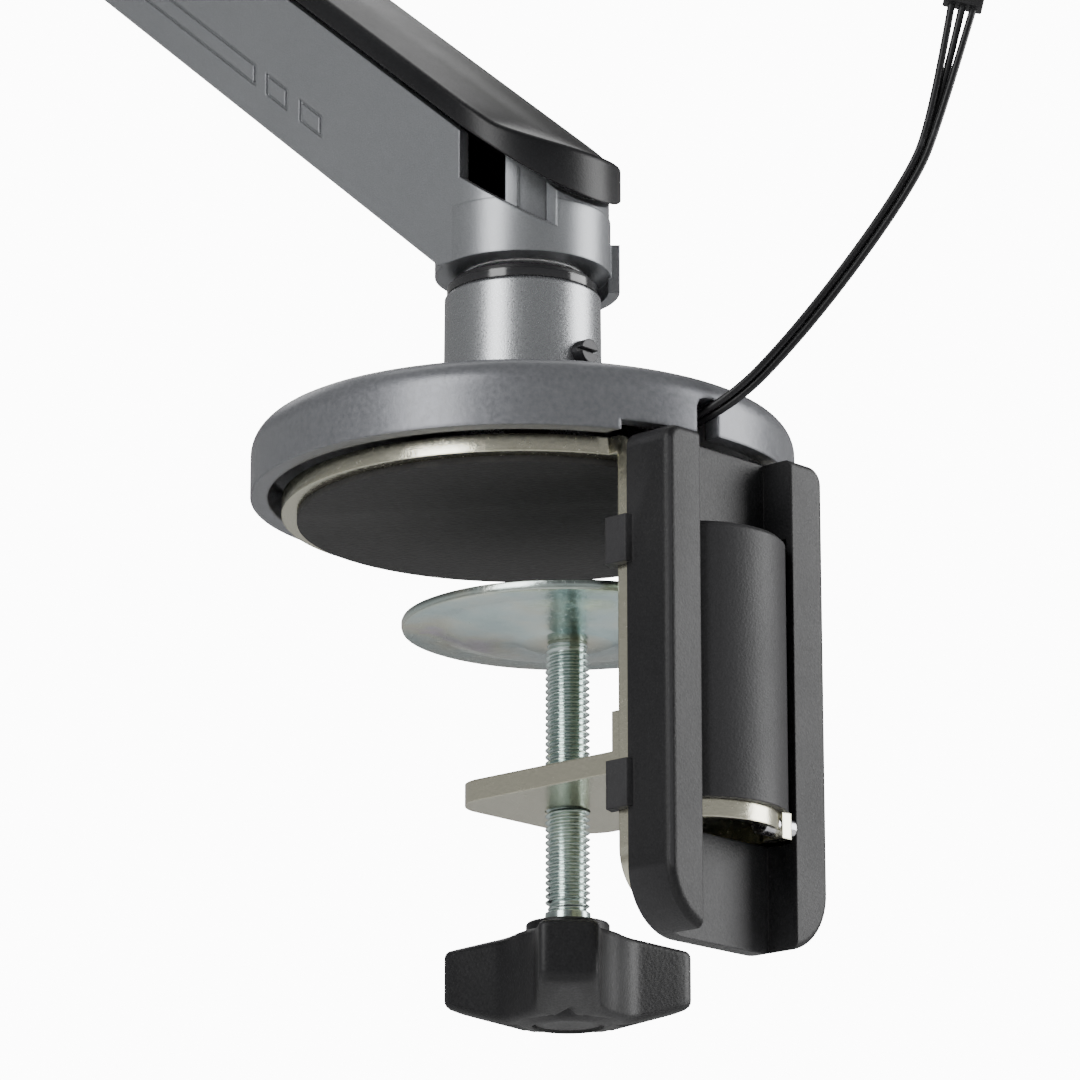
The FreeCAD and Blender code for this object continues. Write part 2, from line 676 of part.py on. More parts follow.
def leaning(sk, start, stop, lift, tall):
    # outline parallel to the arm's underside, with upright ends
    polygon(sk, [
        (start, "arm_under + arm_slope * (%s) + %s" % (start, lift)),
        (stop, "arm_under + arm_slope * (%s) + %s" % (stop, lift)),
        (stop, "arm_under + arm_slope * (%s) + %s + %s" % (stop, lift, tall)),
        (start, "arm_under + arm_slope * (%s) + %s + %s" % (start, lift, tall))])


def outlines(sk):
    leaning(sk, "46.2", "53.8", "8.4", "5.6")
    leaning(sk, "47", "53", "9.2", "4")
    leaning(sk, "57.9", "65.3", "8.4", "5.6")
    leaning(sk, "58.7", "64.5", "9.2", "4")
    leaning(sk, "68.8", "140", "8.4", "5.6")
    leaning(sk, "69.6", "139.2", "9.2", "4")


def lower_arm():
    body = new_body("lower_arm")
    beam = [("-24", "hub_under"), ("8", "hub_under")]
    beam += slope_points("arm_under", "elbow_reach", "elbow_reach")[:1]
    beam += [("elbow_reach", "arm_upper + arm_slope * elbow_reach"), ("-24", "arm_upper + arm_slope * (-24)")]
    slab(body, "beam", "YZ_Plane", lambda sk: polygon(sk, beam), "-arm_half", "arm_half")
    trim_plan(body, "nose", "arm_half", "elbow_reach", "0", "300")
    slab(body, "hub", "XY_Plane", lambda sk: circle(sk, "0", "0", "hub_radius"), "hub_under", "72")
    slab(body, "elbow_hub", "XY_Plane", lambda sk: circle(sk, "0", "elbow_reach", "elbow_radius"),
         "elbow_low", "elbow_top")
    slab(body, "collar", "XY_Plane", collar_plan, "collar_low", "collar_high")
    slab(body, "hub_cavity", "XY_Plane", lambda sk: circle(sk, "0", "0", "hub_radius - 3.2"),
         "64.5", "120", cut=True)
    channel = [("2", "arm_under + 14")]
    channel += slope_points("arm_under + 5", "22", "elbow_reach - elbow_radius - 2")
    channel += [("elbow_reach - elbow_radius - 2", "300"), ("2", "300")]
    slab(body, "channel", "YZ_Plane", lambda sk: polygon(sk, channel), "-channel_half", "channel_half", cut=True)
    slab(body, "boss", "XY_Plane", lambda sk: circle(sk, "0", "0", "liner_outer + 1.6"), "62", "69.6")
    slab(body, "side_mouth", "YZ_Plane", lambda sk: polygon(sk, [
        ("1.2", "78.8"), ("-18.3", "65.2"), ("-18.3", "110"), ("1.2", "110")]), "-30", "-13.4", cut=True)
    slab(body, "side_mouth_deep", "YZ_Plane", lambda sk: polygon(sk, [
        ("-10.9", "70.4"), ("-18.3", "65.2"), ("-18.3", "110"), ("-10.9", "110")]), "-30", "-8.2", cut=True)
    slab(body, "inner_panel", "XY_Plane", panel_plan, "62", "86")
    slab(body, "panel_trim", "YZ_Plane", lambda sk: polygon(
        sk, slope_points("arm_upper + 1.5", "-24", "0") + [("0", "130"), ("-24", "130")]), "-21", "-2", cut=True)
    slab(body, "bore", "XY_Plane", lambda sk: circle(sk, "0", "0", "liner_outer"), "50", "80", cut=True)
    slab(body, "elbow_hole", "XY_Plane", lambda sk: circle(sk, "0", "elbow_reach", "elbow_shaft + 2"),
         "elbow_low - 20", "elbow_top", cut=True)
    slab(body, "nut_pocket", "XY_Plane", lambda sk: circle(sk, "0", "elbow_reach", "14"),
         "elbow_low - 20", "elbow_low + 12", cut=True)
    slab(body, "outline_left", "YZ_Plane", outlines, "-arm_half - 1", "-arm_half + 0.7", cut=True)
    slab(body, "outline_right", "YZ_Plane", outlines, "arm_half - 0.7", "arm_half + 1", cut=True)
    finish(body, "lower_arm")
    outer = cylinder("Liner_outer", "liner_outer", "11.3", "0", "0", "58.7")
    bore = cylinder("Liner_bore", "liner_bore", "11.3", "0", "0", "58.7")
    finish(minus("Liner", outer, bore), "hub_liner")
    sleeve = cylinder("Sleeve_outer", "elbow_shaft + 2", "elbow_top - elbow_low - 12", "0", "elbow_reach",
                      "elbow_low + 12")
    hole = cylinder("Sleeve_bore", "elbow_bore", "elbow_top - elbow_low - 12", "0", "elbow_reach", "elbow_low + 12")
    finish(minus("Sleeve", sleeve, hole), "elbow_liner")


def arc_band(sk, inner, outer, start, stop):
    first = sk.GeometryCount
    inside = number(inner)
    outside = number(outer)
    low = math.radians(start)
    high = math.radians(stop)

    def at(radius, angle):
        return Vector(radius * math.cos(angle), radius * math.sin(angle), 0)
    up = Vector(0, 0, 1)
    sk.addGeometry(Part.ArcOfCircle(Part.Circle(Vector(0, 0, 0), up, outside), low, high), False)
    sk.addGeometry(Part.LineSegment(at(outside, high), at(inside, high)), False)
    sk.addGeometry(Part.ArcOfCircle(Part.Circle(Vector(0, 0, 0), up, inside), low, high), False)
    sk.addGeometry(Part.LineSegment(at(inside, low), at(outside, low)), False)
    add = sk.addConstraint
    add(Sketcher.Constraint("Coincident", first, 2, first + 1, 1))
    add(Sketcher.Constraint("Coincident", first + 1, 2, first + 2, 2))
    add(Sketcher.Constraint("Coincident", first + 2, 1, first + 3, 1))
    add(Sketcher.Constraint("Coincident", first + 3, 2, first, 1))
    for geo, text in ((first, outer), (first + 2, inner)):
        add(Sketcher.Constraint("Coincident", geo, 3, -1, 1))
        spot = add(Sketcher.Constraint("Radius", geo, number(text)))
        sk.setExpression("Constraints[%d]" % spot, link(text))


def collar_plan(sk):
    arc_band(sk, "hub_radius - 0.6", "collar_radius", -47, 94)


def panel_plan(sk):
    arc_band(sk, "hub_radius - 5.4", "hub_radius - 3.8", 209, 258)


def lower_arm_cover():
    body = new_body("lower_arm_cover")
    band = slope_points("cap_under", "-26", "elbow_reach") + slope_points("cap_upper", "-26", "elbow_reach")[::-1]
    slab(body, "band", "YZ_Plane", lambda sk: polygon(sk, band), "-cap_half", "cap_half")
    trim_plan(body, "plan", "cap_half", "elbow_reach", "0", "300")
    hollow = slope_points("cap_under - 1", "-13", "elbow_reach")
    hollow += slope_points("cap_upper - 2.2", "-13", "elbow_reach")[::-1]
    slab(body, "hollow", "YZ_Plane", lambda sk: polygon(sk, hollow), "-channel_half", "channel_half", cut=True)
    for tag, low, high in (("left", "-channel_half", "-channel_half + 1.8"),
                           ("right", "channel_half - 1.8", "channel_half")):
        rib = slope_points("arm_upper - 5", "24", "elbow_reach - 30")
        rib += slope_points("cap_upper - 2.4", "24", "elbow_reach - 30")[::-1]
        slab(body, "rib_" + tag, "YZ_Plane", lambda sk: polygon(sk, rib), low, high)
    slab(body, "elbow_cut", "XY_Plane", lambda sk: circle(sk, "0", "elbow_reach", "elbow_radius + 0.4"),
         "0", "320", cut=True)
    slab(body, "square_end", "XY_Plane", lambda sk: polygon(sk, [
        ("-40", "elbow_reach - 8"), ("40", "elbow_reach - 8"), ("40", "elbow_reach + 50"),
        ("-40", "elbow_reach + 50")]), "0", "320", cut=True)
    finish(body, "lower_arm_cover")


# --- elbow fork -----------------------------------------------------------------------

def elbow_fork():
    body = new_body("elbow_fork")
    slab(body, "turntable", "XY_Plane", lambda sk: circle(sk, "0", "0", "elbow_radius"),
         "elbow_top + 0.3", "elbow_top + 7")
    slab(body, "shaft", "XY_Plane", lambda sk: circle(sk, "0", "0", "elbow_shaft"),
         "elbow_low + 11.7", "elbow_top + 5")
    slab(body, "foot", "XZ_Plane", lambda sk: polygon(sk, [
        ("pivot_near - 8", "elbow_top + 4"), ("pivot_near - 10", "pivot_low"), ("pivot_near - 10", "pivot_high"),
        ("pivot_near - 6", "pivot_high + 9"), ("pivot_near + 6", "pivot_high + 10"), ("4", "pivot_high - 4"),
        ("12", "elbow_top + 6"), ("12", "elbow_top + 4")]), "-cheek_out", "cheek_out")
    slab(body, "gap", "XZ_Plane", lambda sk: polygon(sk, [
        ("pivot_near - 20", "elbow_top"), ("pivot_near + 2", "elbow_top"), ("pivot_near + 2", "elbow_top + 8"),
        ("-8", "elbow_top + 8"), ("-8", "pivot_high + 20"),
        ("pivot_near - 20", "pivot_high + 20")]), "-cheek_in", "cheek_in", cut=True)
    slab(body, "pivot_holes", "XZ_Plane", lambda sk: [
        circle(sk, "pivot_near", "pivot_high", "pin_radius"), circle(sk, "pivot_near", "pivot_low", "pin_radius")],
        "-cheek_out - 1", "cheek_out + 1", cut=True)
    slab(body, "adjuster_hole", "YZ_Plane", lambda sk: circle(sk, "0", "pivot_low + 11", "3"), "-9", "12", cut=True)
    slab(body, "adjuster_seat", "YZ_Plane", lambda sk: circle(sk, "0", "pivot_low + 11", "5.4"), "3.7", "13", cut=True)
    finish(body, "elbow_fork", "0", "elbow_reach", "0")
    washer = cylinder("Elbow_washer_disc", "13", "1.6", "0", "elbow_reach", "elbow_low + 10.1")
    eye = cylinder("Elbow_washer_eye", "elbow_shaft - 2", "1.6", "0", "elbow_reach", "elbow_low + 10.1")
    finish(minus("Elbow_washer", washer, eye), "elbow_washer")
    finish(socket_screw("Elbow_bolt", "elbow_shaft - 2", "1.6", "9.5", "5.5", "8", "0", "elbow_reach",
                        "elbow_low + 10.1", Rotation(Vector(1, 0, 0), 180)), "elbow_screw")
    pin = cylinder("Pin_upper", "pin_radius", "wall_out * 2 + 1", "pivot_near", "elbow_reach - wall_out - 0.5",
                   "pivot_high", TO_FRONT)
    finish(pin, "lift_pin_upper")
    pin = cylinder("Pin_lower", "pin_radius", "cheek_out * 2", "pivot_near", "elbow_reach - cheek_out",
                   "pivot_low", TO_FRONT)
    finish(pin, "lift_pin_lower")
    finish(cylinder("Seat_roll", "6", "13", "pivot_near", "elbow_reach - 6.5", "pivot_low + 11", TO_FRONT),
           "spring_seat")
    finish(socket_screw("Adjuster_bolt", "3", "23.7", "5.2", "4", "4", "3.7", "elbow_reach",
                        "pivot_low + 11", TO_RIGHT), "tension_screw")


# --- spring arm -------------------------------------------------------------------------

def side_plate(near, far, high, low, taper):
    return [
        (near + " + 15", high), (near + " + 15", high + " - 10"), (near + " - 12", high + " - 17"),
        (near + " - %s" % taper, low), (far + " + %s" % taper, low), (far + " + 12", high + " - 17"),
        (far + " - 15", high + " - 10"), (far + " - 15", high), (far + " - 9", high + " + 12"),
        (far + " + 6", high + " + 15"), (near + " - 6", high + " + 15"), (near + " + 9", high + " + 12")]


def spring_arm():
    body = new_body("spring_arm")
    outline = side_plate("pivot_near", "(pivot_near - arm_span)", "pivot_high", "(pivot_high - 30)", "34")
    slab(body, "channel", "XZ_Plane", lambda sk: polygon(sk, outline), "-wall_out", "wall_out")
    slab(body, "inside", "XZ_Plane", lambda sk: polygon(sk, [
        ("pivot_near + 40", "pivot_high - 60"), ("pivot_near - arm_span - 40", "pivot_high - 60"),
        ("pivot_near - arm_span - 40", "pivot_high + 12"), ("pivot_near + 40", "pivot_high + 12")]),
        "-wall_in", "wall_in", cut=True)
    slab(body, "near_relief", "XZ_Plane", lambda sk: polygon(sk, [
        ("pivot_near - 14", "pivot_high + 5"), ("pivot_near + 40", "pivot_high + 5"),
        ("pivot_near + 40", "pivot_high + 30"), ("pivot_near - 14", "pivot_high + 30")]),
        "-wall_in", "wall_in", cut=True)
    slab(body, "far_relief", "XZ_Plane", lambda sk: polygon(sk, [
        ("pivot_near - arm_span + 14", "pivot_high + 5"), ("pivot_near - arm_span - 40", "pivot_high + 5"),
        ("pivot_near - arm_span - 40", "pivot_high + 30"), ("pivot_near - arm_span + 14", "pivot_high + 30")]),
        "-wall_in", "wall_in", cut=True)
    slab(body, "pin_holes", "XZ_Plane", lambda sk: [
        circle(sk, "pivot_near", "pivot_high", "pin_bore"),
        circle(sk, "pivot_near - arm_span", "pivot_high", "pin_bore")], "-wall_out", "wall_out", cut=True)
    slab(body, "spring_saddle", "XZ_Plane", lambda sk: polygon(sk, [
        ("pivot_near - arm_span + 38", "pivot_high - 18"), ("pivot_near - arm_span + 46", "pivot_high - 18"),
        ("pivot_near - arm_span + 46", "pivot_high + 13"), ("pivot_near - arm_span + 38", "pivot_high + 13")]),
        "-6.2", "6.2")
    finish(body, "spring_arm", "0", "elbow_reach", "0")
    shell = new_body("spring_arm_cover")
    slab(shell, "shell", "XZ_Plane", lambda sk: polygon(sk, [
        ("pivot_near - 8", "pivot_high + 15"), ("pivot_near - 14", "pivot_high + 20"),
        ("pivot_near - arm_span + 14", "pivot_high + 20"), ("pivot_near - arm_span + 8", "pivot_high + 15")]),
        "-wall_out", "wall_out")
    finish(shell, "spring_arm_cover", "0", "elbow_reach", "0")
    tube = new_body("gas_cylinder")
    turned(tube, "tube", [("3.1", "0"), ("6", "0"), ("6", "118"), ("4", "121"), ("0", "121"), ("0", "106"),
                          ("3.1", "106")])
    finish(tube, "gas_cylinder", "pivot_near - arm_span + 46 + 121", "elbow_reach", "pivot_low + 11", TO_LEFT)


def link_bar():
    body = new_body("link_bar")
    slab(body, "bar", "XZ_Plane", lambda sk: polygon(sk, [
        ("pivot_near + 6", "pivot_low - 3"), ("pivot_near + 6", "pivot_low + 3"), ("pivot_near + 3", "pivot_low + 5"),
        ("pivot_near - arm_span - 3", "pivot_low + 5"), ("pivot_near - arm_span - 6", "pivot_low + 3"),
        ("pivot_near - arm_span - 6", "pivot_low - 3"), ("pivot_near - arm_span - 3", "pivot_low - 6"),
        ("pivot_near + 3", "pivot_low - 6")]), "-8.7", "8.7")
    slab(body, "trough", "XZ_Plane", lambda sk: polygon(sk, [
        ("pivot_near + 10", "pivot_low - 4.2"), ("pivot_near + 10", "pivot_low + 12"),
        ("pivot_near - arm_span - 10", "pivot_low + 12"), ("pivot_near - arm_span - 10", "pivot_low - 4.2")]),
        "-7", "7", cut=True)
    slab(body, "holes", "XZ_Plane", lambda sk: [
        circle(sk, "pivot_near", "pivot_low", "pin_bore"),
        circle(sk, "pivot_near - arm_span", "pivot_low", "pin_bore")], "-10", "10", cut=True)
    finish(body, "link_bar", "0", "elbow_reach", "0")


def gas_rod():
    body = new_body("gas_rod")
    turned(body, "rod", [("0", "6.7"), ("3.4", "6.7"), ("3.4", "14"), ("3", "15"), ("3", "120"), ("0", "120")])
    finish(body, "gas_rod", "pivot_near", "elbow_reach", "pivot_low + 11", TO_LEFT)


# --- head -----------------------------------------------------------------------------------

def head_bracket():
    body = new_body("head_bracket")
    far = "(pivot_near - arm_span)"
    slab(body, "cheeks", "XZ_Plane", lambda sk: polygon(sk, [
        (far + " + 10", "pivot_low - 6"), (far + " + 10", "pivot_high + 4"), (far + " + 6", "pivot_high + 9"),
        (far + " - 8", "pivot_high + 9"), ("head_axis + 19", "pivot_high"), ("head_axis + 13", "pivot_high"),
        ("head_axis + 13", "pivot_low - 2"),
        (far + " - 4", "pivot_low - 10"), (far + " + 6", "pivot_low - 10")]), "-cheek_out", "cheek_out")
    slab(body, "gap", "XZ_Plane", lambda sk: polygon(sk, [
        (far + " + 20", "pivot_low - 20"), (far + " + 20", "pivot_high + 20"),
        (far + " - 12", "pivot_high + 20"), (far + " - 12", "pivot_low - 20")]), "-cheek_in", "cheek_in", cut=True)
    slab(body, "boss", "XY_Plane", lambda sk: circle(sk, "head_axis", "0", "14"), "pivot_low - 2", "pivot_high")
    slab(body, "boss_bore", "XY_Plane", lambda sk: circle(sk, "head_axis", "0", "7.6"),
         "pivot_low - 4", "pivot_high", cut=True)
    slab(body, "pin_holes", "XZ_Plane", lambda sk: [
        circle(sk, far, "pivot_high", "pin_radius"), circle(sk, far, "pivot_low", "pin_radius")],
        "-cheek_out - 1", "cheek_out + 1", cut=True)
    finish(body, "head_bracket", "0", "elbow_reach", "0")
    pin = cylinder("Pin_head_upper", "pin_radius", "wall_out * 2 + 1", "pivot_near - arm_span",
                   "elbow_reach - wall_out - 0.5", "pivot_high", TO_FRONT)
    finish(pin, "head_pin_upper")
    pin = cylinder("Pin_head_lower", "pin_radius", "cheek_out * 2", "pivot_near - arm_span",
                   "elbow_reach - cheek_out", "pivot_low", TO_FRONT)
    finish(pin, "head_pin_lower")
    outer = cylinder("Head_sleeve_outer", "7.6", "24", "head_axis", "elbow_reach", "pivot_low - 2")
    bore = cylinder("Head_sleeve_bore", "6.05", "24", "head_axis", "elbow_reach", "pivot_low - 2")
    finish(minus("Head_sleeve", outer, bore), "head_liner")


def head_knuckle():
    body = new_body("head_knuckle")
    slab(body, "cap", "XY_Plane", lambda sk: circle(sk, "0", "0", "14"), "pivot_high + 0.3", "pivot_high + 6")
    slab(body, "reach", "XY_Plane", lambda sk: polygon(sk, [
        ("-14", "0"), ("14", "0"), ("14", "tilt_reach - elbow_reach + 4"), ("-14", "tilt_reach - elbow_reach + 4")]),
        "pivot_high + 0.3", "pivot_high + 6")
    slab(body, "stem", "XY_Plane", lambda sk: circle(sk, "0", "0", "6"), "pivot_low - 4.4", "pivot_high + 2")
    slab(body, "ears", "YZ_Plane", lambda sk: polygon(sk, [
        ("tilt_reach - elbow_reach - 9", "pivot_high + 4"), ("tilt_reach - elbow_reach - 9", "tilt_height - 4"),
        ("tilt_reach - elbow_reach - 4", "tilt_height - 9"), ("tilt_reach - elbow_reach + 4", "tilt_height - 9"),
        ("tilt_reach - elbow_reach + 9", "tilt_height - 4"), ("tilt_reach - elbow_reach + 9", "tilt_height + 4"),
        ("tilt_reach - elbow_reach + 4", "pivot_high + 4")]), "-14", "14")
    slab(body, "ear_gap", "YZ_Plane", lambda sk: polygon(sk, [
        ("tilt_reach - elbow_reach - 9.5", "tilt_height - 20"), ("tilt_reach - elbow_reach + 20", "tilt_height - 20"),
        ("tilt_reach - elbow_reach + 20", "pivot_high + 1"), ("tilt_reach - elbow_reach - 9.5", "pivot_high + 1")]),
        "-9", "9", cut=True)
    slab(body, "bolt_hole", "YZ_Plane", lambda sk: circle(sk, "tilt_reach - elbow_reach", "tilt_height", "4"),
         "-20", "20", cut=True)
    finish(body, "head_knuckle", "head_axis", "elbow_reach", "0")
    outer = cylinder("Clip_outer", "9", "1.4", "head_axis", "elbow_reach", "pivot_low - 4")
    bore = cylinder("Clip_bore", "6", "1.4", "head_axis", "elbow_reach", "pivot_low - 4")
    finish(minus("Clip", outer, bore), "head_circlip")
    finish(socket_screw("Tilt_bolt", "4", "33", "6.5", "4", "5", "head_axis + 14", "tilt_reach", "tilt_height",
                        TO_RIGHT), "tilt_bolt")
    nut = hexagon("Tilt_nut_hex", "13", "5", "head_axis - 14", "tilt_reach", "tilt_height", TO_LEFT)
    bore = cylinder("Tilt_nut_bore", "4", "5", "head_axis - 14", "tilt_reach", "tilt_height", TO_LEFT)
    finish(minus("Tilt_nut", nut, bore), "tilt_nut")


def tilt_head():
    knuckle = cylinder("Tilt_barrel", "8", "17.4", "head_axis - 8.7", "tilt_reach", "tilt_height", TO_RIGHT)
    stalk = cylinder("Tilt_stalk", "6.9", "screen_face - 10.6 - tilt_reach", "head_axis", "tilt_reach",
                     "tilt_height", TO_FRONT)
    plate = cylinder("Tilt_plate", "17", "4", "head_axis", "screen_face - 14.6", "tilt_height", TO_FRONT)
    spindle = cylinder("Tilt_spindle", "7", "9.6", "head_axis", "screen_face - 12.6", "tilt_height", TO_FRONT)
    whole = joined("Tilt_solid", [knuckle, stalk, plate, spindle])
    bore = cylinder("Tilt_bore", "4.05", "40", "head_axis - 20", "tilt_reach", "tilt_height", TO_RIGHT)
    finish(minus("Tilt_cut", whole, bore), "tilt_head")
    outer = cylinder("Roll_outer", "11", "2.6", "head_axis", "screen_face - 7.4", "tilt_height", TO_FRONT)
    bore = cylinder("Roll_bore", "7", "2.6", "head_axis", "screen_face - 7.4", "tilt_height", TO_FRONT)
    finish(minus("Roll_ring", outer, bore), "roll_retainer")


def screen_plate():
    body = new_body("screen_plate")
    slab(body, "plate", "XZ_Plane", lambda sk: polygon(sk, [
        ("-screen_half", "-screen_half"), ("screen_half", "-screen_half"), ("screen_half", "screen_half"),
        ("-screen_half", "screen_half")]), "screen_face - 2.6", "screen_face")
    half = number("screen_half")
    soften(body, "plate_corners", "8", along_y([(-half, -half), (half, -half), (half, half), (-half, half)]))
    slab(body, "cup", "XZ_Plane", lambda sk: circle(sk, "0", "0", "26"), "screen_face - 10.3", "screen_face - 1")
    slab(body, "cup_inside", "XZ_Plane", lambda sk: circle(sk, "0", "0", "23.4"),
         "screen_face - 7.7", "screen_face + 1", cut=True)
    slab(body, "spindle_hole", "XZ_Plane", lambda sk: circle(sk, "0", "0", "7.05"),
         "screen_face - 14", "screen_face", cut=True)
    slab(body, "pattern_hundred", "XZ_Plane", lambda sk: corner_circles(sk, "50"),
         "screen_face - 6", "screen_face + 1", cut=True)
    slab(body, "pattern_small", "XZ_Plane", lambda sk: corner_circles(sk, "37.5"),
         "screen_face - 6", "screen_face + 1", cut=True)
    finish(body, "screen_plate", "head_axis", "0", "tilt_height")


def corner_circles(sk, reach):
    for px, py in (("-" + reach, "-" + reach), (reach, "-" + reach), (reach, reach), ("-" + reach, reach)):
        circle(sk, px, py, "2.25")


# --- wires ------------------------------------------------------------------------------------

RIGHT = Vector(0.679, -0.734, 0)
BEHIND = Vector(0.734, 0.679, 0)


def wire_spot(across, height):
    return Vector(0.679 * across - 33.2, -0.734 * across - 30.7, height)


WIRE_MIDDLE = [
    Vector(-6.5, -41.06, 9.4),
    Vector(-6.5, -63.9, 10.6),
    wire_spot(63.5, 34),
    wire_spot(86.5, 66.5),
    wire_spot(92.5, 82),
    wire_spot(98.9, 108.6)]
WIRE_RADIUS = 0.85


def wire_points(side, back):
    # keeps the wire at a fixed place beside the bundle's middle line
    spots = []
    for index, spot in enumerate(WIRE_MIDDLE):
        before = WIRE_MIDDLE[max(index - 1, 0)]
        after = WIRE_MIDDLE[min(index + 1, len(WIRE_MIDDLE) - 1)]
        ahead = (after - before).normalize()
        if index == 0:
            sideways = Vector(-1, 0, 0)
            rear = Vector(0, 0, 1)
        else:
            rear = Vector(BEHIND) if index > 1 else (Vector(BEHIND) + Vector(0, 0, 1)).normalize()
            rear = (rear - ahead * rear.dot(ahead)).normalize()
            sideways = ahead.cross(rear).normalize()
        last = index == len(WIRE_MIDDLE) - 1
        spread = 2.5 if last else 1.0
        depth = 0 if last else 1.75
        spots.append(spot + sideways * (side * spread) + rear * (back * depth))
    return spots


def rounded_path(spots):
    edges = []
    start = spots[0]
    radii = []
    for index in range(1, len(spots) - 1):
        corner = spots[index]
        back = spots[index - 1] - corner
        ahead = spots[index + 1] - corner
        shorter = min(back.Length, ahead.Length)
        back = Vector(back).normalize()
        ahead = Vector(ahead).normalize()
        turn = math.pi - back.getAngle(ahead)
        tangent = 0.45 * shorter
        radius = tangent / math.tan(turn / 2)
        radii.append(radius)
        enter = corner + back * tangent
        leave = corner + ahead * tangent
        inward = (back + ahead).normalize()
        middle = corner + inward * (radius / math.cos(turn / 2) - radius)
        edges.append(Part.LineSegment(start, enter).toShape())
        edges.append(Part.Arc(enter, middle, leave).toShape())
        start = leave
    edges.append(Part.LineSegment(start, spots[-1]).toShape())
    return Part.Wire(edges), radii


def wires():
    for name, side, back in (("wire_left", 1, 0), ("wire_right", -1, 0), ("wire_rear", 0, 1)):
        spots = wire_points(side, back)
        path, radii = rounded_path(spots)
        ring = Part.Wire([Part.makeCircle(WIRE_RADIUS, spots[0], spots[1] - spots[0])])
        thing = doc.addObject("Part::Feature", "Cord_" + name)
        thing.Shape = path.makePipeShell([ring], True, False)
        finish(thing, name)
        share = thing.Shape.Volume / (math.pi * WIRE_RADIUS ** 2 * path.Length)
        print("cord", name, "length %.1f" % path.Length, "volume share %.4f" % share,
              "radii", " ".join("%.1f" % item for item in radii))
        for spot in spots:
            print("   point %.3f %.3f %.3f" % (spot.x, spot.y, spot.z))
    end = WIRE_MIDDLE[-1]
    ahead = (end - WIRE_MIDDLE[-2]).normalize()
    rear = (Vector(BEHIND) - ahead * BEHIND.dot(ahead)).normalize()
    sideways = rear.cross(ahead).normalize()
    shell = doc.addObject("Part::Box", "Connector_shell")
    shell.Length = 9
    shell.Width = 5
    shell.Height = 13
    turn = Rotation(sideways, rear, ahead, "ZXY")
    shell.Placement = Placement(end - sideways * 4.5 - rear * 2.5 - ahead * 0.5, turn)
    shell.Label = "wire_connector"
    NODES.append(shell)
    saddle = block("Saddle", "-9.9", "-3.1", "-41", "-36.5", "flange_top", "13.4")
    finish_plain(saddle, "wire_saddle")


def finish_plain(thing, name):
    thing.Label = name
    NODES.append(thing)


desk_pad()
clamp_bracket()
bracket_tongue()
pressure_plate()
clamp_screw()
knob()
base_cover()
post()
cable_housing()
barrel()
lower_arm()
lower_arm_cover()
elbow_fork()
spring_arm()
link_bar()
gas_rod()
head_bracket()
head_knuckle()
tilt_head()
screen_plate()
wires()
doc.recompute()

os.makedirs("parts", exist_ok=True)
for thing in doc.Objects:
    if "Invalid" in thing.State or "Error" in thing.State:
        print("STATE", thing.Name, thing.Label, thing.State)
for thing in NODES:
    shape = thing.Shape
    if shape.isNull() or not shape.isValid() or not shape.Solids:
        print("BAD SHAPE", thing.Label)
        continue
    box = shape.BoundBox
    print("%-18s solids %d vol %9.0f  x %7.1f %7.1f  y %7.1f %7.1f  z %7.1f %7.1f" % (
        thing.Label, len(shape.Solids), shape.Volume, box.XMin, box.XMax, box.YMin, box.YMax, box.ZMin, box.ZMax))
    shape.exportStep(os.path.join("parts", thing.Label + ".step"))
print(len(NODES), "nodes written")
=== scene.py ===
import json
import math

import bpy
from mathutils import Matrix, Vector


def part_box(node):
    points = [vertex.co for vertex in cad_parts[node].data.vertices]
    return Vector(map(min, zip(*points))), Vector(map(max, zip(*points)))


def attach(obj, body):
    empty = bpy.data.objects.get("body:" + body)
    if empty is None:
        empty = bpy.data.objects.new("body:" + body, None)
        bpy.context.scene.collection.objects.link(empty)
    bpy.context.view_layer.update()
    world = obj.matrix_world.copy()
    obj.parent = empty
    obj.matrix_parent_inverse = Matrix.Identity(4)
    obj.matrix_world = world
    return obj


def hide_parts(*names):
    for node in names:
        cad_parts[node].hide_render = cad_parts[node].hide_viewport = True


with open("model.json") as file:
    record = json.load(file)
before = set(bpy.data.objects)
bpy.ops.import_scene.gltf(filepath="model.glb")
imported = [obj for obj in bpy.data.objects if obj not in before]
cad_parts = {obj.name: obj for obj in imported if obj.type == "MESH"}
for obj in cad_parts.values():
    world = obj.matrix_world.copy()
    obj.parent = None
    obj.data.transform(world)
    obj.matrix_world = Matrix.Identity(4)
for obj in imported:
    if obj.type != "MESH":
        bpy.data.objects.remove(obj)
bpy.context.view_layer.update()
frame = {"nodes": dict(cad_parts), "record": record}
NODES = frame["nodes"]

# Lengths are metres in the frame of the CAD model.
VIEW = Vector((0.734, 0.679, 0.0))      # level direction the camera looks along
RIGHT = Vector((0.679, -0.734, 0.0))
SCREW_Y = -0.0138

THREAD_PITCH = 0.0015
THREAD_MAJOR = 0.0050
THREAD_MINOR = 0.00415
WIRE_RADIUS = 0.00085

KNOB_REACH = 0.0285
KNOB_CORE = 0.0125
KNOB_ANGLE = 222.8          # degrees from +X to the first lobe
LOBE_END_HALF = 0.0065
LOBE_WIDENING = 0.0015      # extra half width at the hub
LOBE_CORNER = 0.0015
LOBE_BLEND = 0.0040
KNOB_STEPS = 240
BISECTIONS = 26
ROUND_STEPS = 5

FLOOR_SIZE = 6.0            # half side
FLOOR_HEIGHT = -0.46
BACKDROP = 12.0             # strength of the white the camera sees
CAMERA_DISTANCE = 1.17
CAMERA_PITCH = 15.3         # degrees, looking up
CAMERA_LENS = 171.5


# --- mesh helpers -------------------------------------------------------------

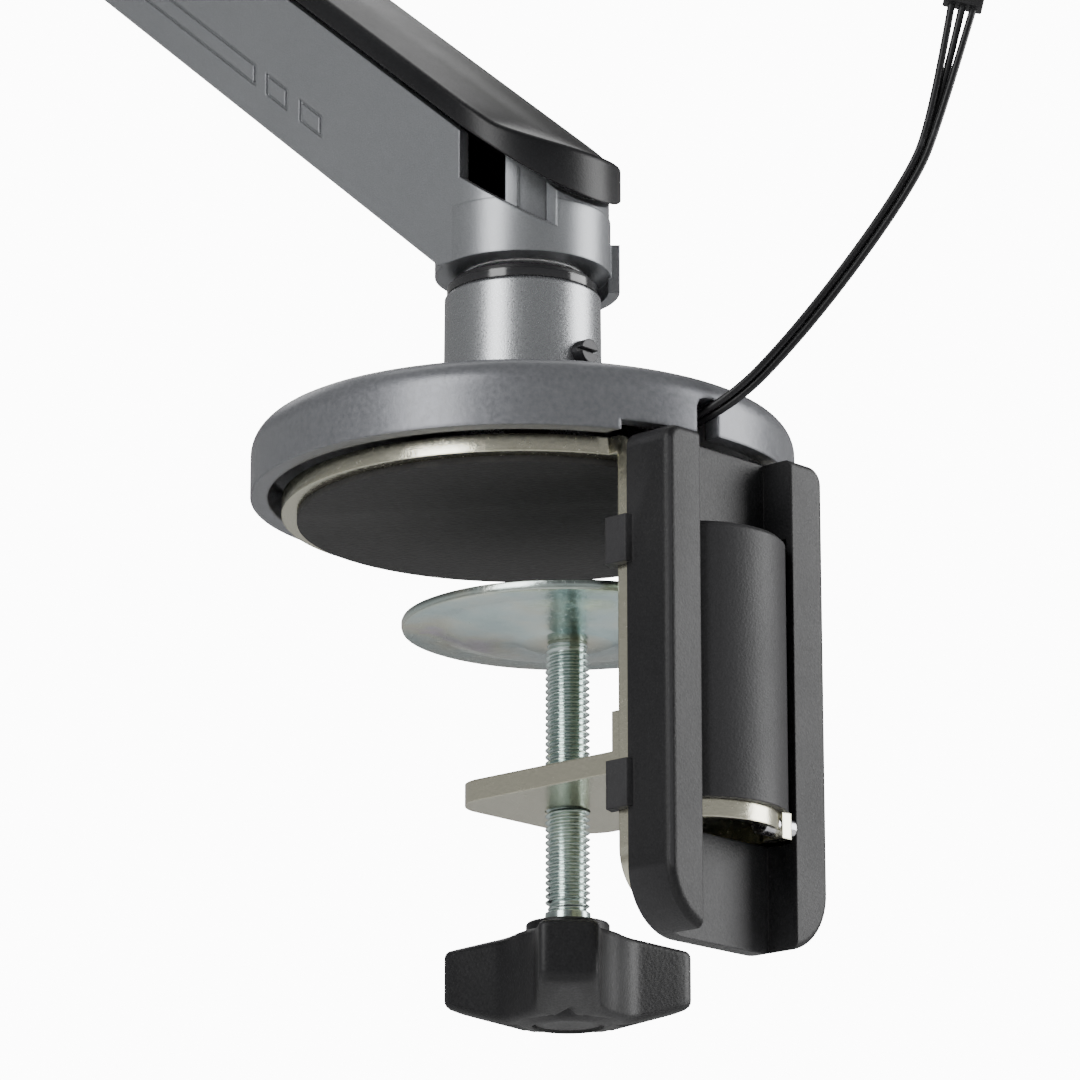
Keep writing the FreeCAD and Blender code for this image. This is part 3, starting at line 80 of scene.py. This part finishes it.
def make_mesh(name, verts, faces, crease=35):
    mesh = bpy.data.meshes.new(name)
    mesh.from_pydata([tuple(v) for v in verts], [], faces)
    mesh.validate()
    mesh.update()
    mesh.shade_smooth()
    mesh.set_sharp_from_angle(angle=math.radians(crease))
    piece = bpy.data.objects.new(name, mesh)
    bpy.context.scene.collection.objects.link(piece)
    return piece


def ring_strip(faces, first, second, count):
    for i in range(count):
        j = (i + 1) % count
        faces.append((first + i, first + j, second + j, second + i))


def lathe_data(profile, x=0.0, y=0.0, steps=128):
    # profile runs from the bottom of the axis round the outside: (radius, height)
    verts, faces = [], []
    for radius, height in profile:
        for k in range(steps):
            a = 2 * math.pi * k / steps
            verts.append((x + radius * math.cos(a), y + radius * math.sin(a), height))
    for row in range(len(profile) - 1):
        ring_strip(faces, row * steps, (row + 1) * steps, steps)
    return verts, faces


def join_data(parts):
    verts, faces = [], []
    for some_verts, some_faces in parts:
        shift = len(verts)
        verts.extend(some_verts)
        faces.extend([tuple(i + shift for i in face) for face in some_faces])
    return verts, faces


def layered(outline, layers, lift):
    # outline(inset) gives (x, y) points; layers are (inset, height); lift(x, y) is the base height
    verts, faces = [], []
    count = len(outline(0.0))
    for inset, height in layers:
        for x, y in outline(inset):
            verts.append((x, y, lift(x, y) + height))
    for row in range(len(layers) - 1):
        ring_strip(faces, row * count, (row + 1) * count, count)
    start = (len(layers) - 1) * count
    faces.append(tuple(reversed(range(count))))
    faces.append(tuple(range(start, start + count)))
    return verts, faces


def rounded(radius, start):
    # inset and height pairs of a quarter round edge that turns inwards at the top
    out = []
    for k in range(ROUND_STEPS + 1):
        a = math.pi / 2 * k / ROUND_STEPS
        out.append((radius * (1 - math.cos(a)), start + radius * math.sin(a)))
    return out


def box_data(low, high, round_by=0.0003):
    def outline(inset):
        x0, y0, x1, y1 = low[0] + inset, low[1] + inset, high[0] - inset, high[1] - inset
        r = round_by
        spots = []
        for cx, cy, start in ((x1 - r, y1 - r, 0), (x0 + r, y1 - r, 90), (x0 + r, y0 + r, 180), (x1 - r, y0 + r, 270)):
            for k in range(4):
                a = math.radians(start + 30 * k)
                spots.append((cx + r * math.cos(a), cy + r * math.sin(a)))
        return spots
    layers = [(round_by * 0.7, low[2]), (round_by * 0.2, low[2] + round_by * 0.3), (0, low[2] + round_by)]
    layers += [(0, high[2] - round_by), (round_by * 0.2, high[2] - round_by * 0.3), (round_by * 0.7, high[2])]
    return layered(outline, layers, lambda x, y: 0.0)


# --- materials ------------------------------------------------------------------

def new_material(name):
    material = bpy.data.materials.new(name)
    material.use_nodes = True
    tree = material.node_tree
    tree.nodes.clear()
    out = tree.nodes.new("ShaderNodeOutputMaterial")
    shader = tree.nodes.new("ShaderNodeBsdfPrincipled")
    tree.links.new(shader.outputs["BSDF"], out.inputs["Surface"])
    place = tree.nodes.new("ShaderNodeTexCoord")
    return material, tree, shader, place


def noise(tree, place, scale, detail=4.0, rough=0.55, stretch=None):
    source = place.outputs["Object"]
    if stretch:
        mapping = tree.nodes.new("ShaderNodeMapping")
        mapping.inputs["Scale"].default_value = stretch
        tree.links.new(source, mapping.inputs["Vector"])
        source = mapping.outputs["Vector"]
    node = tree.nodes.new("ShaderNodeTexNoise")
    node.inputs["Scale"].default_value = scale
    node.inputs["Detail"].default_value = detail
    node.inputs["Roughness"].default_value = rough
    tree.links.new(source, node.inputs["Vector"])
    return node.outputs["Fac"]


def ramp(tree, value, stops):
    node = tree.nodes.new("ShaderNodeValToRGB")
    bar = node.color_ramp
    while len(bar.elements) < len(stops):
        bar.elements.new(0.5)
    for element, (spot, colour) in zip(bar.elements, stops):
        element.position = spot
        element.color = (*colour, 1.0) if len(colour) == 3 else colour
    tree.links.new(value, node.inputs["Fac"])
    return node.outputs["Color"]


def remap(tree, value, low, high, out_low, out_high):
    node = tree.nodes.new("ShaderNodeMapRange")
    node.inputs["From Min"].default_value = low
    node.inputs["From Max"].default_value = high
    node.inputs["To Min"].default_value = out_low
    node.inputs["To Max"].default_value = out_high
    tree.links.new(value, node.inputs["Value"])
    return node.outputs["Result"]


def mix_colour(tree, factor, first, second):
    node = tree.nodes.new("ShaderNodeMix")
    node.data_type = "RGBA"
    for socket, value in ((node.inputs["Factor"], factor), (node.inputs[6], first), (node.inputs[7], second)):
        if isinstance(value, bpy.types.NodeSocket):
            tree.links.new(value, socket)
        elif isinstance(value, tuple):
            socket.default_value = (*value, 1.0)
        else:
            socket.default_value = value
    return node.outputs[2]


def add_values(tree, first, second, weight):
    node = tree.nodes.new("ShaderNodeMath")
    node.operation = "MULTIPLY_ADD"
    tree.links.new(second, node.inputs[0])
    node.inputs[1].default_value = weight
    tree.links.new(first, node.inputs[2])
    return node.outputs[0]


def relief(tree, shader, height, distance, strength=1.0, edge=0.0004):
    soft = tree.nodes.new("ShaderNodeBevel")
    soft.samples = 4
    soft.inputs["Radius"].default_value = edge
    bump = tree.nodes.new("ShaderNodeBump")
    bump.inputs["Strength"].default_value = strength
    bump.inputs["Distance"].default_value = distance
    tree.links.new(height, bump.inputs["Height"])
    tree.links.new(soft.outputs["Normal"], bump.inputs["Normal"])
    tree.links.new(bump.outputs["Normal"], shader.inputs["Normal"])


def edge_tint_and_painted_highlight(tree):
    # mask of sharp outside corners: zinc gets its yellow plating tint there, the black plastics a painted highlight
    node = tree.nodes.new("ShaderNodeNewGeometry")
    return remap(tree, node.outputs["Pointiness"], 0.52, 0.60, 0.0, 1.0)


def metal_paint(name, base, dark, rough, grain=2600.0, bump=0.00006, metallic=0.0, edge=0.0006):
    # cast metal under a satin paint with fine pearl grain
    material, tree, shader, place = new_material(name)
    fine = noise(tree, place, grain, 3.0, 0.6)
    broad = noise(tree, place, 22.0, 4.0, 0.5)
    tone = add_values(tree, fine, broad, 0.35)
    colour = ramp(tree, remap(tree, tone, 0.45, 0.95, 0.0, 1.0), [(0.0, dark), (1.0, base)])
    tree.links.new(colour, shader.inputs["Base Color"])
    tree.links.new(remap(tree, fine, 0.3, 0.7, rough - 0.05, rough + 0.07), shader.inputs["Roughness"])
    shader.inputs["Metallic"].default_value = metallic
    relief(tree, shader, add_values(tree, fine, broad, 0.6), bump, 0.6, edge)
    return material


def brushed(name, base, dark, rough, direction):
    material, tree, shader, place = new_material(name)
    streak = noise(tree, place, 60.0, 5.0, 0.6, direction)
    broad = noise(tree, place, 18.0, 3.0, 0.5)
    tone = add_values(tree, streak, broad, 0.5)
    colour = ramp(tree, remap(tree, tone, 0.5, 1.0, 0.0, 1.0), [(0.0, dark), (1.0, base)])
    tree.links.new(colour, shader.inputs["Base Color"])
    tree.links.new(remap(tree, streak, 0.3, 0.7, rough - 0.06, rough + 0.08), shader.inputs["Roughness"])
    shader.inputs["Metallic"].default_value = 1.0
    relief(tree, shader, streak, 0.00004, 0.5, 0.0004)
    return material


def zinc_plate(name, rough=0.27):
    # bright zinc: bluish with faint yellow and violet patches along the edges
    material, tree, shader, place = new_material(name)
    broad = noise(tree, place, 34.0, 4.0, 0.6)
    second = noise(tree, place, 90.0, 3.0, 0.6)
    fine = noise(tree, place, 900.0, 4.0, 0.7)
    colour = ramp(tree, remap(tree, broad, 0.32, 0.70, 0.0, 1.0), [
        (0.0, (0.36, 0.48, 0.49)), (0.38, (0.50, 0.61, 0.60)), (0.62, (0.60, 0.66, 0.61)),
        (0.82, (0.63, 0.64, 0.53)), (1.0, (0.60, 0.54, 0.60))])
    colour = mix_colour(tree, remap(tree, second, 0.35, 0.7, 0.0, 0.45), colour, (0.46, 0.58, 0.61))
    colour = mix_colour(tree, edge_tint_and_painted_highlight(tree), colour, (0.72, 0.70, 0.56))
    tree.links.new(colour, shader.inputs["Base Color"])
    shader.inputs["Metallic"].default_value = 1.0
    tree.links.new(remap(tree, fine, 0.3, 0.75, rough - 0.05, rough + 0.14), shader.inputs["Roughness"])
    relief(tree, shader, add_values(tree, fine, broad, 1.2), 0.00008, 0.5, 0.0005)
    return material


def moulded(name, base, light, rough, grain, bump, edge=0.0005, specular=0.5, coat=0.0):
    # black plastic with a spark-eroded grain and a painted highlight along its sharp edges
    material, tree, shader, place = new_material(name)
    node = tree.nodes.new("ShaderNodeTexVoronoi")
    node.inputs["Scale"].default_value = grain
    node.inputs["Randomness"].default_value = 1.0
    tree.links.new(place.outputs["Object"], node.inputs["Vector"])
    cells = node.outputs["Distance"]
    fine = noise(tree, place, grain * 1.7, 3.0, 0.65)
    broad = noise(tree, place, 26.0, 4.0, 0.55)
    tone = add_values(tree, fine, broad, 0.7)
    colour = ramp(tree, remap(tree, tone, 0.6, 1.15, 0.0, 1.0), [(0.0, base), (1.0, light)])
    # painted highlight: sharp outside edges are lightened in colour as if catching the light
    colour = mix_colour(tree, edge_tint_and_painted_highlight(tree), colour, tuple(min(1.0, 1.8 * c + 0.004) for c in light))
    tree.links.new(colour, shader.inputs["Base Color"])
    tree.links.new(remap(tree, tone, 0.6, 1.15, rough - 0.06, rough + 0.08), shader.inputs["Roughness"])
    shader.inputs["Specular IOR Level"].default_value = specular
    shader.inputs["Coat Weight"].default_value = coat
    shader.inputs["Coat Roughness"].default_value = 0.12
    relief(tree, shader, add_values(tree, cells, fine, 0.8), bump, 0.7, edge)
    return material


PAINT = metal_paint("satin_silver_paint", (0.33, 0.34, 0.355), (0.27, 0.28, 0.295), 0.33, metallic=0.65)
POST_METAL = metal_paint("silver_post_paint", (0.44, 0.45, 0.465), (0.38, 0.39, 0.405), 0.28, metallic=0.85)
DISC_PAINT = metal_paint("brushed_grey_cover", (0.22, 0.225, 0.24), (0.17, 0.175, 0.19), 0.34, grain=900.0,
                         bump=0.00006, metallic=0.5, edge=0.0010)
ZINC = zinc_plate("zinc_plate", 0.17)
ROD_ZINC = brushed("zinc_thread", (0.66, 0.75, 0.72), (0.50, 0.60, 0.58), 0.20, (1.0, 1.0, 0.2))
STEEL = brushed("turned_steel", (0.60, 0.60, 0.61), (0.42, 0.42, 0.44), 0.24, (9.0, 9.0, 9.0))
BLACK_STEEL = metal_paint("black_oxide", (0.030, 0.030, 0.033), (0.014, 0.014, 0.016), 0.36, bump=0.00003,
                          metallic=0.4, edge=0.0003)
GRAIN = moulded("grained_black_plastic", (0.006, 0.006, 0.007), (0.016, 0.016, 0.017), 0.48, 1500.0, 0.00005,
                specular=0.32)
KNOB_BLACK = moulded("knob_nylon", (0.005, 0.005, 0.006), (0.014, 0.014, 0.015), 0.42, 1100.0, 0.00004, edge=0.0006,
                     specular=0.30)
COVER_BLACK = moulded("satin_black_cover", (0.005, 0.005, 0.006), (0.011, 0.011, 0.012), 0.36, 2200.0, 0.00002,
                      specular=0.30)
GLOSS = moulded("gloss_black", (0.006, 0.006, 0.007), (0.012, 0.012, 0.013), 0.16, 900.0, 0.00001, coat=0.4)
FOAM = moulded("foam_rubber", (0.012, 0.012, 0.012), (0.034, 0.034, 0.034), 0.85, 800.0, 0.00020, specular=0.2)
BEARING = moulded("bearing_plastic", (0.52, 0.50, 0.44), (0.66, 0.64, 0.58), 0.45, 1800.0, 0.00002)
WIRE = moulded("wire_skin", (0.006, 0.006, 0.007), (0.014, 0.014, 0.015), 0.36, 2600.0, 0.00001, edge=0.0001,
               specular=0.3)

SLOT_MATERIAL = {
    "zinc": ZINC, "casting": PAINT, "cover_grey": DISC_PAINT, "black_shell": GRAIN, "gloss_black": GLOSS,
    "black_steel": BLACK_STEEL, "steel": STEEL, "foam": FOAM, "bearing": BEARING, "wire_skin": WIRE}
NODE_MATERIAL = {
    "post": POST_METAL, "knob": KNOB_BLACK, "lower_arm_cover": COVER_BLACK, "spring_arm_cover": COVER_BLACK,
    "barrel": GRAIN, "gas_cylinder": GLOSS}


def paint(piece, material):
    piece.data.materials.clear()
    piece.data.materials.append(material)


for entry in frame["record"]["subparts"]:
    cad = NODES[entry["node"]]
    look = NODE_MATERIAL.get(entry["node"], SLOT_MATERIAL[entry["material_slot"]])
    for index in range(max(1, len(cad.data.materials))):
        if len(cad.data.materials) == 0:
            cad.data.materials.append(look)
        else:
            cad.data.materials[index] = look


def install(piece, material, body, *nodes):
    paint(piece, material)
    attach(piece, body)
    if nodes:
        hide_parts(*nodes)
    return piece


# --- clamp screw: rod with a helical thread ---------------------------------------

def clamp_rod():
    low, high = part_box("clamp_screw")
    steps = 48
    pitch, major, minor = THREAD_PITCH, THREAD_MAJOR, THREAD_MINOR
    bottom, top = -0.0915, -0.0312
    turns = (top - bottom) / pitch
    rows = int(turns * steps)
    tooth = [(minor, 0.0), (minor, 0.00016), (major - 0.00008, 0.00063), (major, 0.00070), (major, 0.00080),
             (major - 0.00008, 0.00087), (minor, 0.00134)]
    verts, faces = [], []
    for i in range(rows + 1):
        a = 2 * math.pi * i / steps
        fade = min(1.0, i / steps, (rows - i) / steps)
        for radius, rise in tooth:
            r = minor + (radius - minor) * fade
            z = bottom + pitch * i / steps + rise - 0.0007
            verts.append((r * math.cos(a), SCREW_Y + r * math.sin(a), z))
    width = len(tooth)
    for i in range(rows):
        for k in range(width - 1):
            a = i * width + k
            faces.append((a, a + width, a + width + 1, a + 1))
        if i + steps <= rows:
            a = i * width + width - 1
            b = (i + steps) * width
            if b + width < len(verts):
                faces.append((a, a + width, b + width, b))
    core = lathe_data([(0.0, low[2]), (0.0056, low[2]), (0.0056, -0.0955), (0.0052, -0.0938), (0.0050, -0.0918),
                       (0.0044, -0.0914), (0.00412, -0.0910), (0.00412, -0.0312), (0.0046, -0.0310),
                       (0.0041, -0.0308), (0.0041, high[2]), (0.0, high[2])], 0.0, SCREW_Y, 64)
    verts, faces = join_data([(verts, faces), core])
    install(make_mesh("threaded_rod", verts, faces, 50), ROD_ZINC, "clamp_screw", "clamp_screw")


# --- knob: three flat-ended lobes -------------------------------------------------------

def knob_outline(inset):
    spots = []

    def depth(x, y):
        value = math.hypot(x, y) - KNOB_CORE
        for k in range(3):
            a = math.radians(KNOB_ANGLE + 120 * k)
            along = x * math.cos(a) + y * math.sin(a)
            side = abs(y * math.cos(a) - x * math.sin(a))
            half = LOBE_END_HALF + LOBE_WIDENING * (1 - min(max(along / KNOB_REACH, 0.0), 1.0))
            dx = (along - KNOB_REACH if along > 0 else -along - 0.001) + LOBE_CORNER
            dy = side - half + LOBE_CORNER
            gap = min(max(dx, dy), 0.0) + math.hypot(max(dx, 0.0), max(dy, 0.0)) - LOBE_CORNER
            soft = max(LOBE_BLEND - abs(value - gap), 0.0) / LOBE_BLEND
            value = min(value, gap) - soft * soft * LOBE_BLEND * 0.25
        return value
    for k in range(KNOB_STEPS):
        a = 2 * math.pi * k / KNOB_STEPS
        inner, outer = 0.0, 0.034
        for _ in range(BISECTIONS):
            middle = 0.5 * (inner + outer)
            if depth(middle * math.cos(a), middle * math.sin(a)) < -inset:
                inner = middle
            else:
                outer = middle
        spots.append((inner * math.cos(a), inner * math.sin(a)))
    return spots


def knob_floor(radius):
    # the underside rises towards the end of a lobe
    return -0.1164 + 0.0049 * max(radius - 0.0131, 0.0) / (KNOB_REACH - 0.0131)


def knob_roof(radius):
    return -0.0966 - 0.0019 * max(radius - 0.0094, 0.0) / (KNOB_REACH - 0.0094)


def knob():
    verts, faces = [], []
    rings = [(knob_floor, inset, lift) for inset, lift in
             ((0.0044, 0.0), (0.0020, 0.0), (0.0012, 0.0001), (0.0005, 0.0005), (0.0001, 0.0011), (0.0, 0.0018))]
    rings += [(knob_roof, inset, lift) for inset, lift in
              ((0.0, -0.0016), (0.0001, -0.0010), (0.0004, -0.0005), (0.0010, -0.0001), (0.0020, 0.0), (0.0044, 0.0))]
    for height, inset, lift in rings:
        for x, y in knob_outline(inset):
            verts.append((x, SCREW_Y + y, height(math.hypot(x, y)) + lift))
    for row in range(len(rings) - 1):
        ring_strip(faces, row * KNOB_STEPS, (row + 1) * KNOB_STEPS, KNOB_STEPS)
    faces.append(tuple(reversed(range(KNOB_STEPS))))
    faces.append(tuple(range((len(rings) - 1) * KNOB_STEPS, len(rings) * KNOB_STEPS)))
    hub = lathe_data([
        (0.0, -0.1157), (0.0072, -0.1157), (0.0076, -0.1159), (0.0079, -0.1170), (0.0082, -0.1172),
        (0.0090, -0.1170), (0.0106, -0.1165), (0.0118, -0.1155), (0.0124, -0.1144), (0.0125, -0.1120),
        (0.0125, -0.0980), (0.0122, -0.0971), (0.0112, -0.0967), (0.0097, -0.0966), (0.0093, -0.0963),
        (0.0093, -0.0945), (0.0090, -0.0941), (0.0086, -0.0940), (0.0060, -0.0940), (0.0058, -0.0943),
        (0.0058, -0.0970)],
        0.0, SCREW_Y, 96)
    verts, faces = join_data([(verts, faces), hub])
    install(make_mesh("three_lobe_knob", verts, faces, 40), KNOB_BLACK, "clamp_screw", "knob")
    cap = lathe_data([(0.0, -0.1168), (0.0050, -0.1168), (0.0066, -0.1167), (0.0074, -0.1164), (0.0077, -0.1159),
                      (0.0077, -0.1158), (0.0, -0.1158)], 0.0, SCREW_Y, 72)
    install(make_mesh("knob_end_cap", *cap), KNOB_BLACK, "clamp_screw", "knob_cap")


# --- pressure plate --------------------------------------------------------------------

def pressed_plate():
    low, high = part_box("pressure_plate")
    top, under = high[2], low[2]
    dish = lathe_data([
        (0.00415, under), (0.0100, under), (0.0107, under + 0.0002), (0.0130, under + 0.0009),
        (0.0236, top - 0.0040), (0.0262, top - 0.0033), (0.0290, top - 0.0026), (0.0300, top - 0.0024),
        (0.0366, top - 0.0024), (0.0371, top - 0.0022), (0.0373, top - 0.0016), (0.0373, top - 0.0007),
        (0.0371, top - 0.0002), (0.0366, top), (0.0287, top), (0.0276, top - 0.0004), (0.0240, top - 0.0014),
        (0.0120, top - 0.0023), (0.0085, top - 0.0024), (0.00415, top - 0.0024), (0.00415, under)],
        0.0, SCREW_Y, 160)
    install(make_mesh("pressed_plate", *dish), ZINC, "pressure_plate", "pressure_plate")


# --- black cover of the lower arm ---------------------------------------------------------

def arm_cover():
    half = 0.0227
    slope = 0.824
    elbow, back = 0.187, 0.1786

    def outline(inset):
        r = half - inset
        spots = []
        for k in range(49):
            a = math.pi + math.pi * k / 48
            spots.append((r * math.cos(a), r * math.sin(a)))
        for k in range(1, 36):
            spots.append((r, 0.177 * k / 36))
        cut = 0.0216 + inset * 0.5
        for k in range(25):
            x = r * (1 - 2 * k / 24)
            y = elbow - math.sqrt(max(cut * cut - x * x, 0.0)) if abs(x) < cut else elbow
            spots.append((x, min(y, back - inset)))
        for k in range(1, 36):
            spots.append((-r, 0.177 * (1 - k / 36)))
        return spots
    layers = [(0.0009, 0.0910), (0.0003, 0.0912), (0.0, 0.0916), (0.0, 0.0960)]
    layers += rounded(0.0014, 0.0960)[1:]
    layers += [(0.0030, 0.0977), (0.0060, 0.0982), (0.0100, 0.0986), (0.0150, 0.0988)]
    verts, faces = layered(outline, layers, lambda x, y: slope * y)

    def nose(spot):
        # the top levels out towards the nose
        x, y, z = spot
        if z - slope * y < 0.094 or y > -0.009:
            return spot
        return x, y, z + 0.0048 * ((-y - 0.009) / 0.0132) ** 1.3
    shell = [nose(spot) for spot in verts], faces
    install(make_mesh("arm_top_cover", *shell, 28), COVER_BLACK, "lower_arm", "lower_arm_cover")
    ribs = []
    for side in (-1, 1):
        low_x, high_x = sorted((side * 0.0143, side * 0.0159))
        rib_verts = []
        for y in (0.024, 0.156):
            for x, z in ((low_x, 0.0835), (high_x, 0.0835), (high_x, 0.0920), (low_x, 0.0920)):
                rib_verts.append((x, y, z + slope * y))
        ribs.append((rib_verts, [(0, 1, 5, 4), (1, 2, 6, 5), (2, 3, 7, 6), (3, 0, 4, 7), (3, 2, 1, 0), (4, 5, 6, 7)]))
    install(make_mesh("arm_cover_ribs", *join_data(ribs)), COVER_BLACK, "lower_arm")


# --- black cover of the spring arm ----------------------------------------------------------

def spring_cover():
    low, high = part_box("spring_arm_cover")

    def outline(inset):
        x0, x1 = low[0] + inset, high[0] - inset
        y0, y1 = low[1] + inset, high[1] - inset
        r = 0.007
        spots = []
        for cx, cy, start in ((x1 - r, y1 - r, 0), (x0 + r, y1 - r, 90), (x0 + r, y0 + r, 180), (x1 - r, y0 + r, 270)):
            for k in range(10):
                a = math.radians(start + 10 * k)
                spots.append((cx + r * math.cos(a), cy + r * math.sin(a)))
        return spots
    bottom, top = low[2], high[2]
    layers = [(0.0005, bottom), (0.0, bottom + 0.0003), (0.0, top - 0.0030)]
    layers += [(inset, height - 0.0002) for inset, height in rounded(0.0028, top - 0.0030)[1:]]
    layers += [(0.0060, top - 0.0001), (0.0120, top)]
    install(make_mesh("spring_arm_lid", *layered(outline, layers, lambda x, y: 0.0), 28), COVER_BLACK,
            "spring_arm", "spring_arm_cover")


# --- wires and their connector ---------------------------------------------------------------

WIRES = {
    "wire_left": [(-0.007500, -0.041060, 0.009400), (-0.007314, -0.063875, 0.011180),
                  (0.009383, -0.076732, 0.034618), (0.024952, -0.093563, 0.067017),
                  (0.028956, -0.097891, 0.082283), (0.032303, -0.101508, 0.109185)],
    "wire_right": [(-0.005500, -0.041060, 0.009400), (-0.005686, -0.063925, 0.010020),
                   (0.010450, -0.077886, 0.033382), (0.026115, -0.094819, 0.065983),
                   (0.030259, -0.099299, 0.081717), (0.035604, -0.105077, 0.108015)],
    "wire_rear": [(-0.006500, -0.041060, 0.011150), (-0.005690, -0.062795, 0.011688),
                  (0.011170, -0.076089, 0.033943), (0.026818, -0.093003, 0.066500),
                  (0.030892, -0.097407, 0.082000), (0.033953, -0.103293, 0.108600)]}
BUNDLE_BEFORE_END = Vector((0.0296075, -0.098595, 0.082))


def wires(plug):
    for name, spots in WIRES.items():
        curve = bpy.data.curves.new(name + "_line", "CURVE")
        curve.dimensions = "3D"
        curve.bevel_depth = WIRE_RADIUS
        curve.bevel_resolution = 6
        curve.resolution_u = 24
        curve.use_fill_caps = True
        spline = curve.splines.new("NURBS")
        spline.points.add(len(spots) - 1)
        for point, spot in zip(spline.points, spots):
            point.co = (*spot, 1.0)
        spline.order_u = 3
        spline.use_endpoint_u = True
        piece = bpy.data.objects.new(name + "_lead", curve)
        bpy.context.scene.collection.objects.link(piece)
        piece.data.materials.append(WIRE)
        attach(piece, "base")
        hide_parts(name)


def connector():
    end = Vector(WIRES["wire_rear"][-1])
    ahead = (end - BUNDLE_BEFORE_END).normalized()
    rear = (VIEW - ahead * VIEW.dot(ahead)).normalized()
    side = rear.cross(ahead).normalized()
    place = Matrix((side, rear, ahead)).transposed().to_4x4()
    place.translation = end - ahead * 0.0005
    solids = [box_data((-0.0045, -0.0025, 0.0), (0.0045, 0.0025, 0.0096), 0.0004),
              box_data((-0.0041, -0.0021, 0.0096), (0.0041, 0.0021, 0.0130), 0.0003)]
    for k in range(5):
        low = 0.0018 + 0.0014 * k
        solids.append(box_data((-0.0045, -0.0027 + 0.0002, low), (0.0045, 0.0025, low + 0.0007), 0.00015))
    solids.append(box_data((-0.0011, -0.0025, 0.0040), (0.0011, -0.0022, 0.0124), 0.0001))
    for x in (-0.0025, 0.0, 0.0025):
        solids.append(lathe_data([(0.00125, -0.0), (0.00125, 0.0004), (0.0009, 0.0006)], x, 0.0, 20))
    verts, faces = join_data(solids)
    verts = [place @ Vector(v) for v in verts]
    return install(make_mesh("wire_end_connector", verts, faces), GRAIN, "base", "wire_connector")


clamp_rod()
knob()
pressed_plate()
arm_cover()
spring_cover()
wires(connector())


# --- stage, light and camera --------------------------------------------------------------------

def stage():
    floor_mesh = bpy.data.meshes.new("floor")
    corners = [(x * FLOOR_SIZE, y * FLOOR_SIZE, FLOOR_HEIGHT) for x, y in ((-1, -1), (1, -1), (1, 1), (-1, 1))]
    floor_mesh.from_pydata(corners, [], [(0, 1, 2, 3)])
    floor = bpy.data.objects.new("floor", floor_mesh)
    bpy.context.scene.collection.objects.link(floor)
    material, tree, shader, place = new_material("pale_floor")
    tint = ramp(tree, noise(tree, place, 3.0), [(0.3, (0.86, 0.86, 0.86)), (0.7, (0.90, 0.90, 0.90))])
    tree.links.new(tint, shader.inputs["Base Color"])
    shader.inputs["Roughness"].default_value = 0.7
    paint(floor, material)


def lamp(name, spot, aim, size, power):
    data = bpy.data.lights.new(name, "AREA")
    data.shape = "RECTANGLE"
    data.size, data.size_y = size
    data.energy = power
    light = bpy.data.objects.new(name, data)
    light.location = spot
    light.rotation_euler = (Vector(aim) - Vector(spot)).to_track_quat("-Z", "Y").to_euler()
    bpy.context.scene.collection.objects.link(light)


def sky(tree, backdrop):
    # the camera sees an even white backdrop; the object sees a soft room with a dark ceiling
    node = tree.nodes.new
    link = tree.links.new
    place = node("ShaderNodeTexCoord")
    split = node("ShaderNodeSeparateXYZ")
    link(place.outputs["Generated"], split.inputs["Vector"])
    room = ramp(tree, remap(tree, split.outputs["Z"], -1.0, 1.0, 0.0, 1.0), [
        (0.0, (0.62, 0.62, 0.62)), (0.42, (0.80, 0.80, 0.80)), (0.58, (0.62, 0.62, 0.62)),
        (0.72, (0.16, 0.16, 0.16)), (1.0, (0.30, 0.30, 0.30))])
    path = node("ShaderNodeLightPath")
    light = tree.nodes["Background"]
    link(room, light.inputs["Color"])
    light.inputs["Strength"].default_value = 0.7
    plain_light = node("ShaderNodeBackground")
    plain_light.inputs["Color"].default_value = (1.0, 1.0, 1.0, 1.0)
    plain_light.inputs["Strength"].default_value = backdrop
    mixed = node("ShaderNodeMixShader")
    link(path.outputs["Is Camera Ray"], mixed.inputs["Fac"])
    link(light.outputs["Background"], mixed.inputs[1])
    link(plain_light.outputs["Background"], mixed.inputs[2])
    link(mixed.outputs["Shader"], tree.nodes["World Output"].inputs["Surface"])


def studio():
    world = bpy.data.worlds.new("studio")
    bpy.context.scene.world = world
    world.use_nodes = True
    sky(world.node_tree, BACKDROP)
    lamp("softbox_right", (1.13, -1.05, 0.42), (0.0, 0.0, 0.0), (0.9, 1.3), 26.0)
    lamp("key_left", (-1.3, -0.1, 0.6), (0.0, 0.0, 0.0), (0.6, 1.2), 17.0)
    lamp("top_back", (0.5, 0.9, 1.3), (0.0, 0.05, 0.1), (1.2, 1.2), 8.0)


def camera():
    pitch = math.radians(CAMERA_PITCH)
    data = bpy.data.cameras.new("photo_camera")
    data.sensor_width = 36.0
    data.lens = CAMERA_LENS
    data.clip_start = 0.05
    view = bpy.data.objects.new("photo_camera", data)
    look = (VIEW.normalized() * math.cos(pitch) + Vector((0, 0, math.sin(pitch)))).normalized()
    side = RIGHT.normalized()
    up = side.cross(look)
    aim = side * 0.00398 - up * 0.00348
    view.location = aim - look * CAMERA_DISTANCE
    view.matrix_world = Matrix((side, up, -look)).transposed().to_4x4()
    view.matrix_world.translation = aim - look * CAMERA_DISTANCE
    bpy.context.scene.collection.objects.link(view)
    bpy.context.scene.camera = view


stage()
studio()
camera()
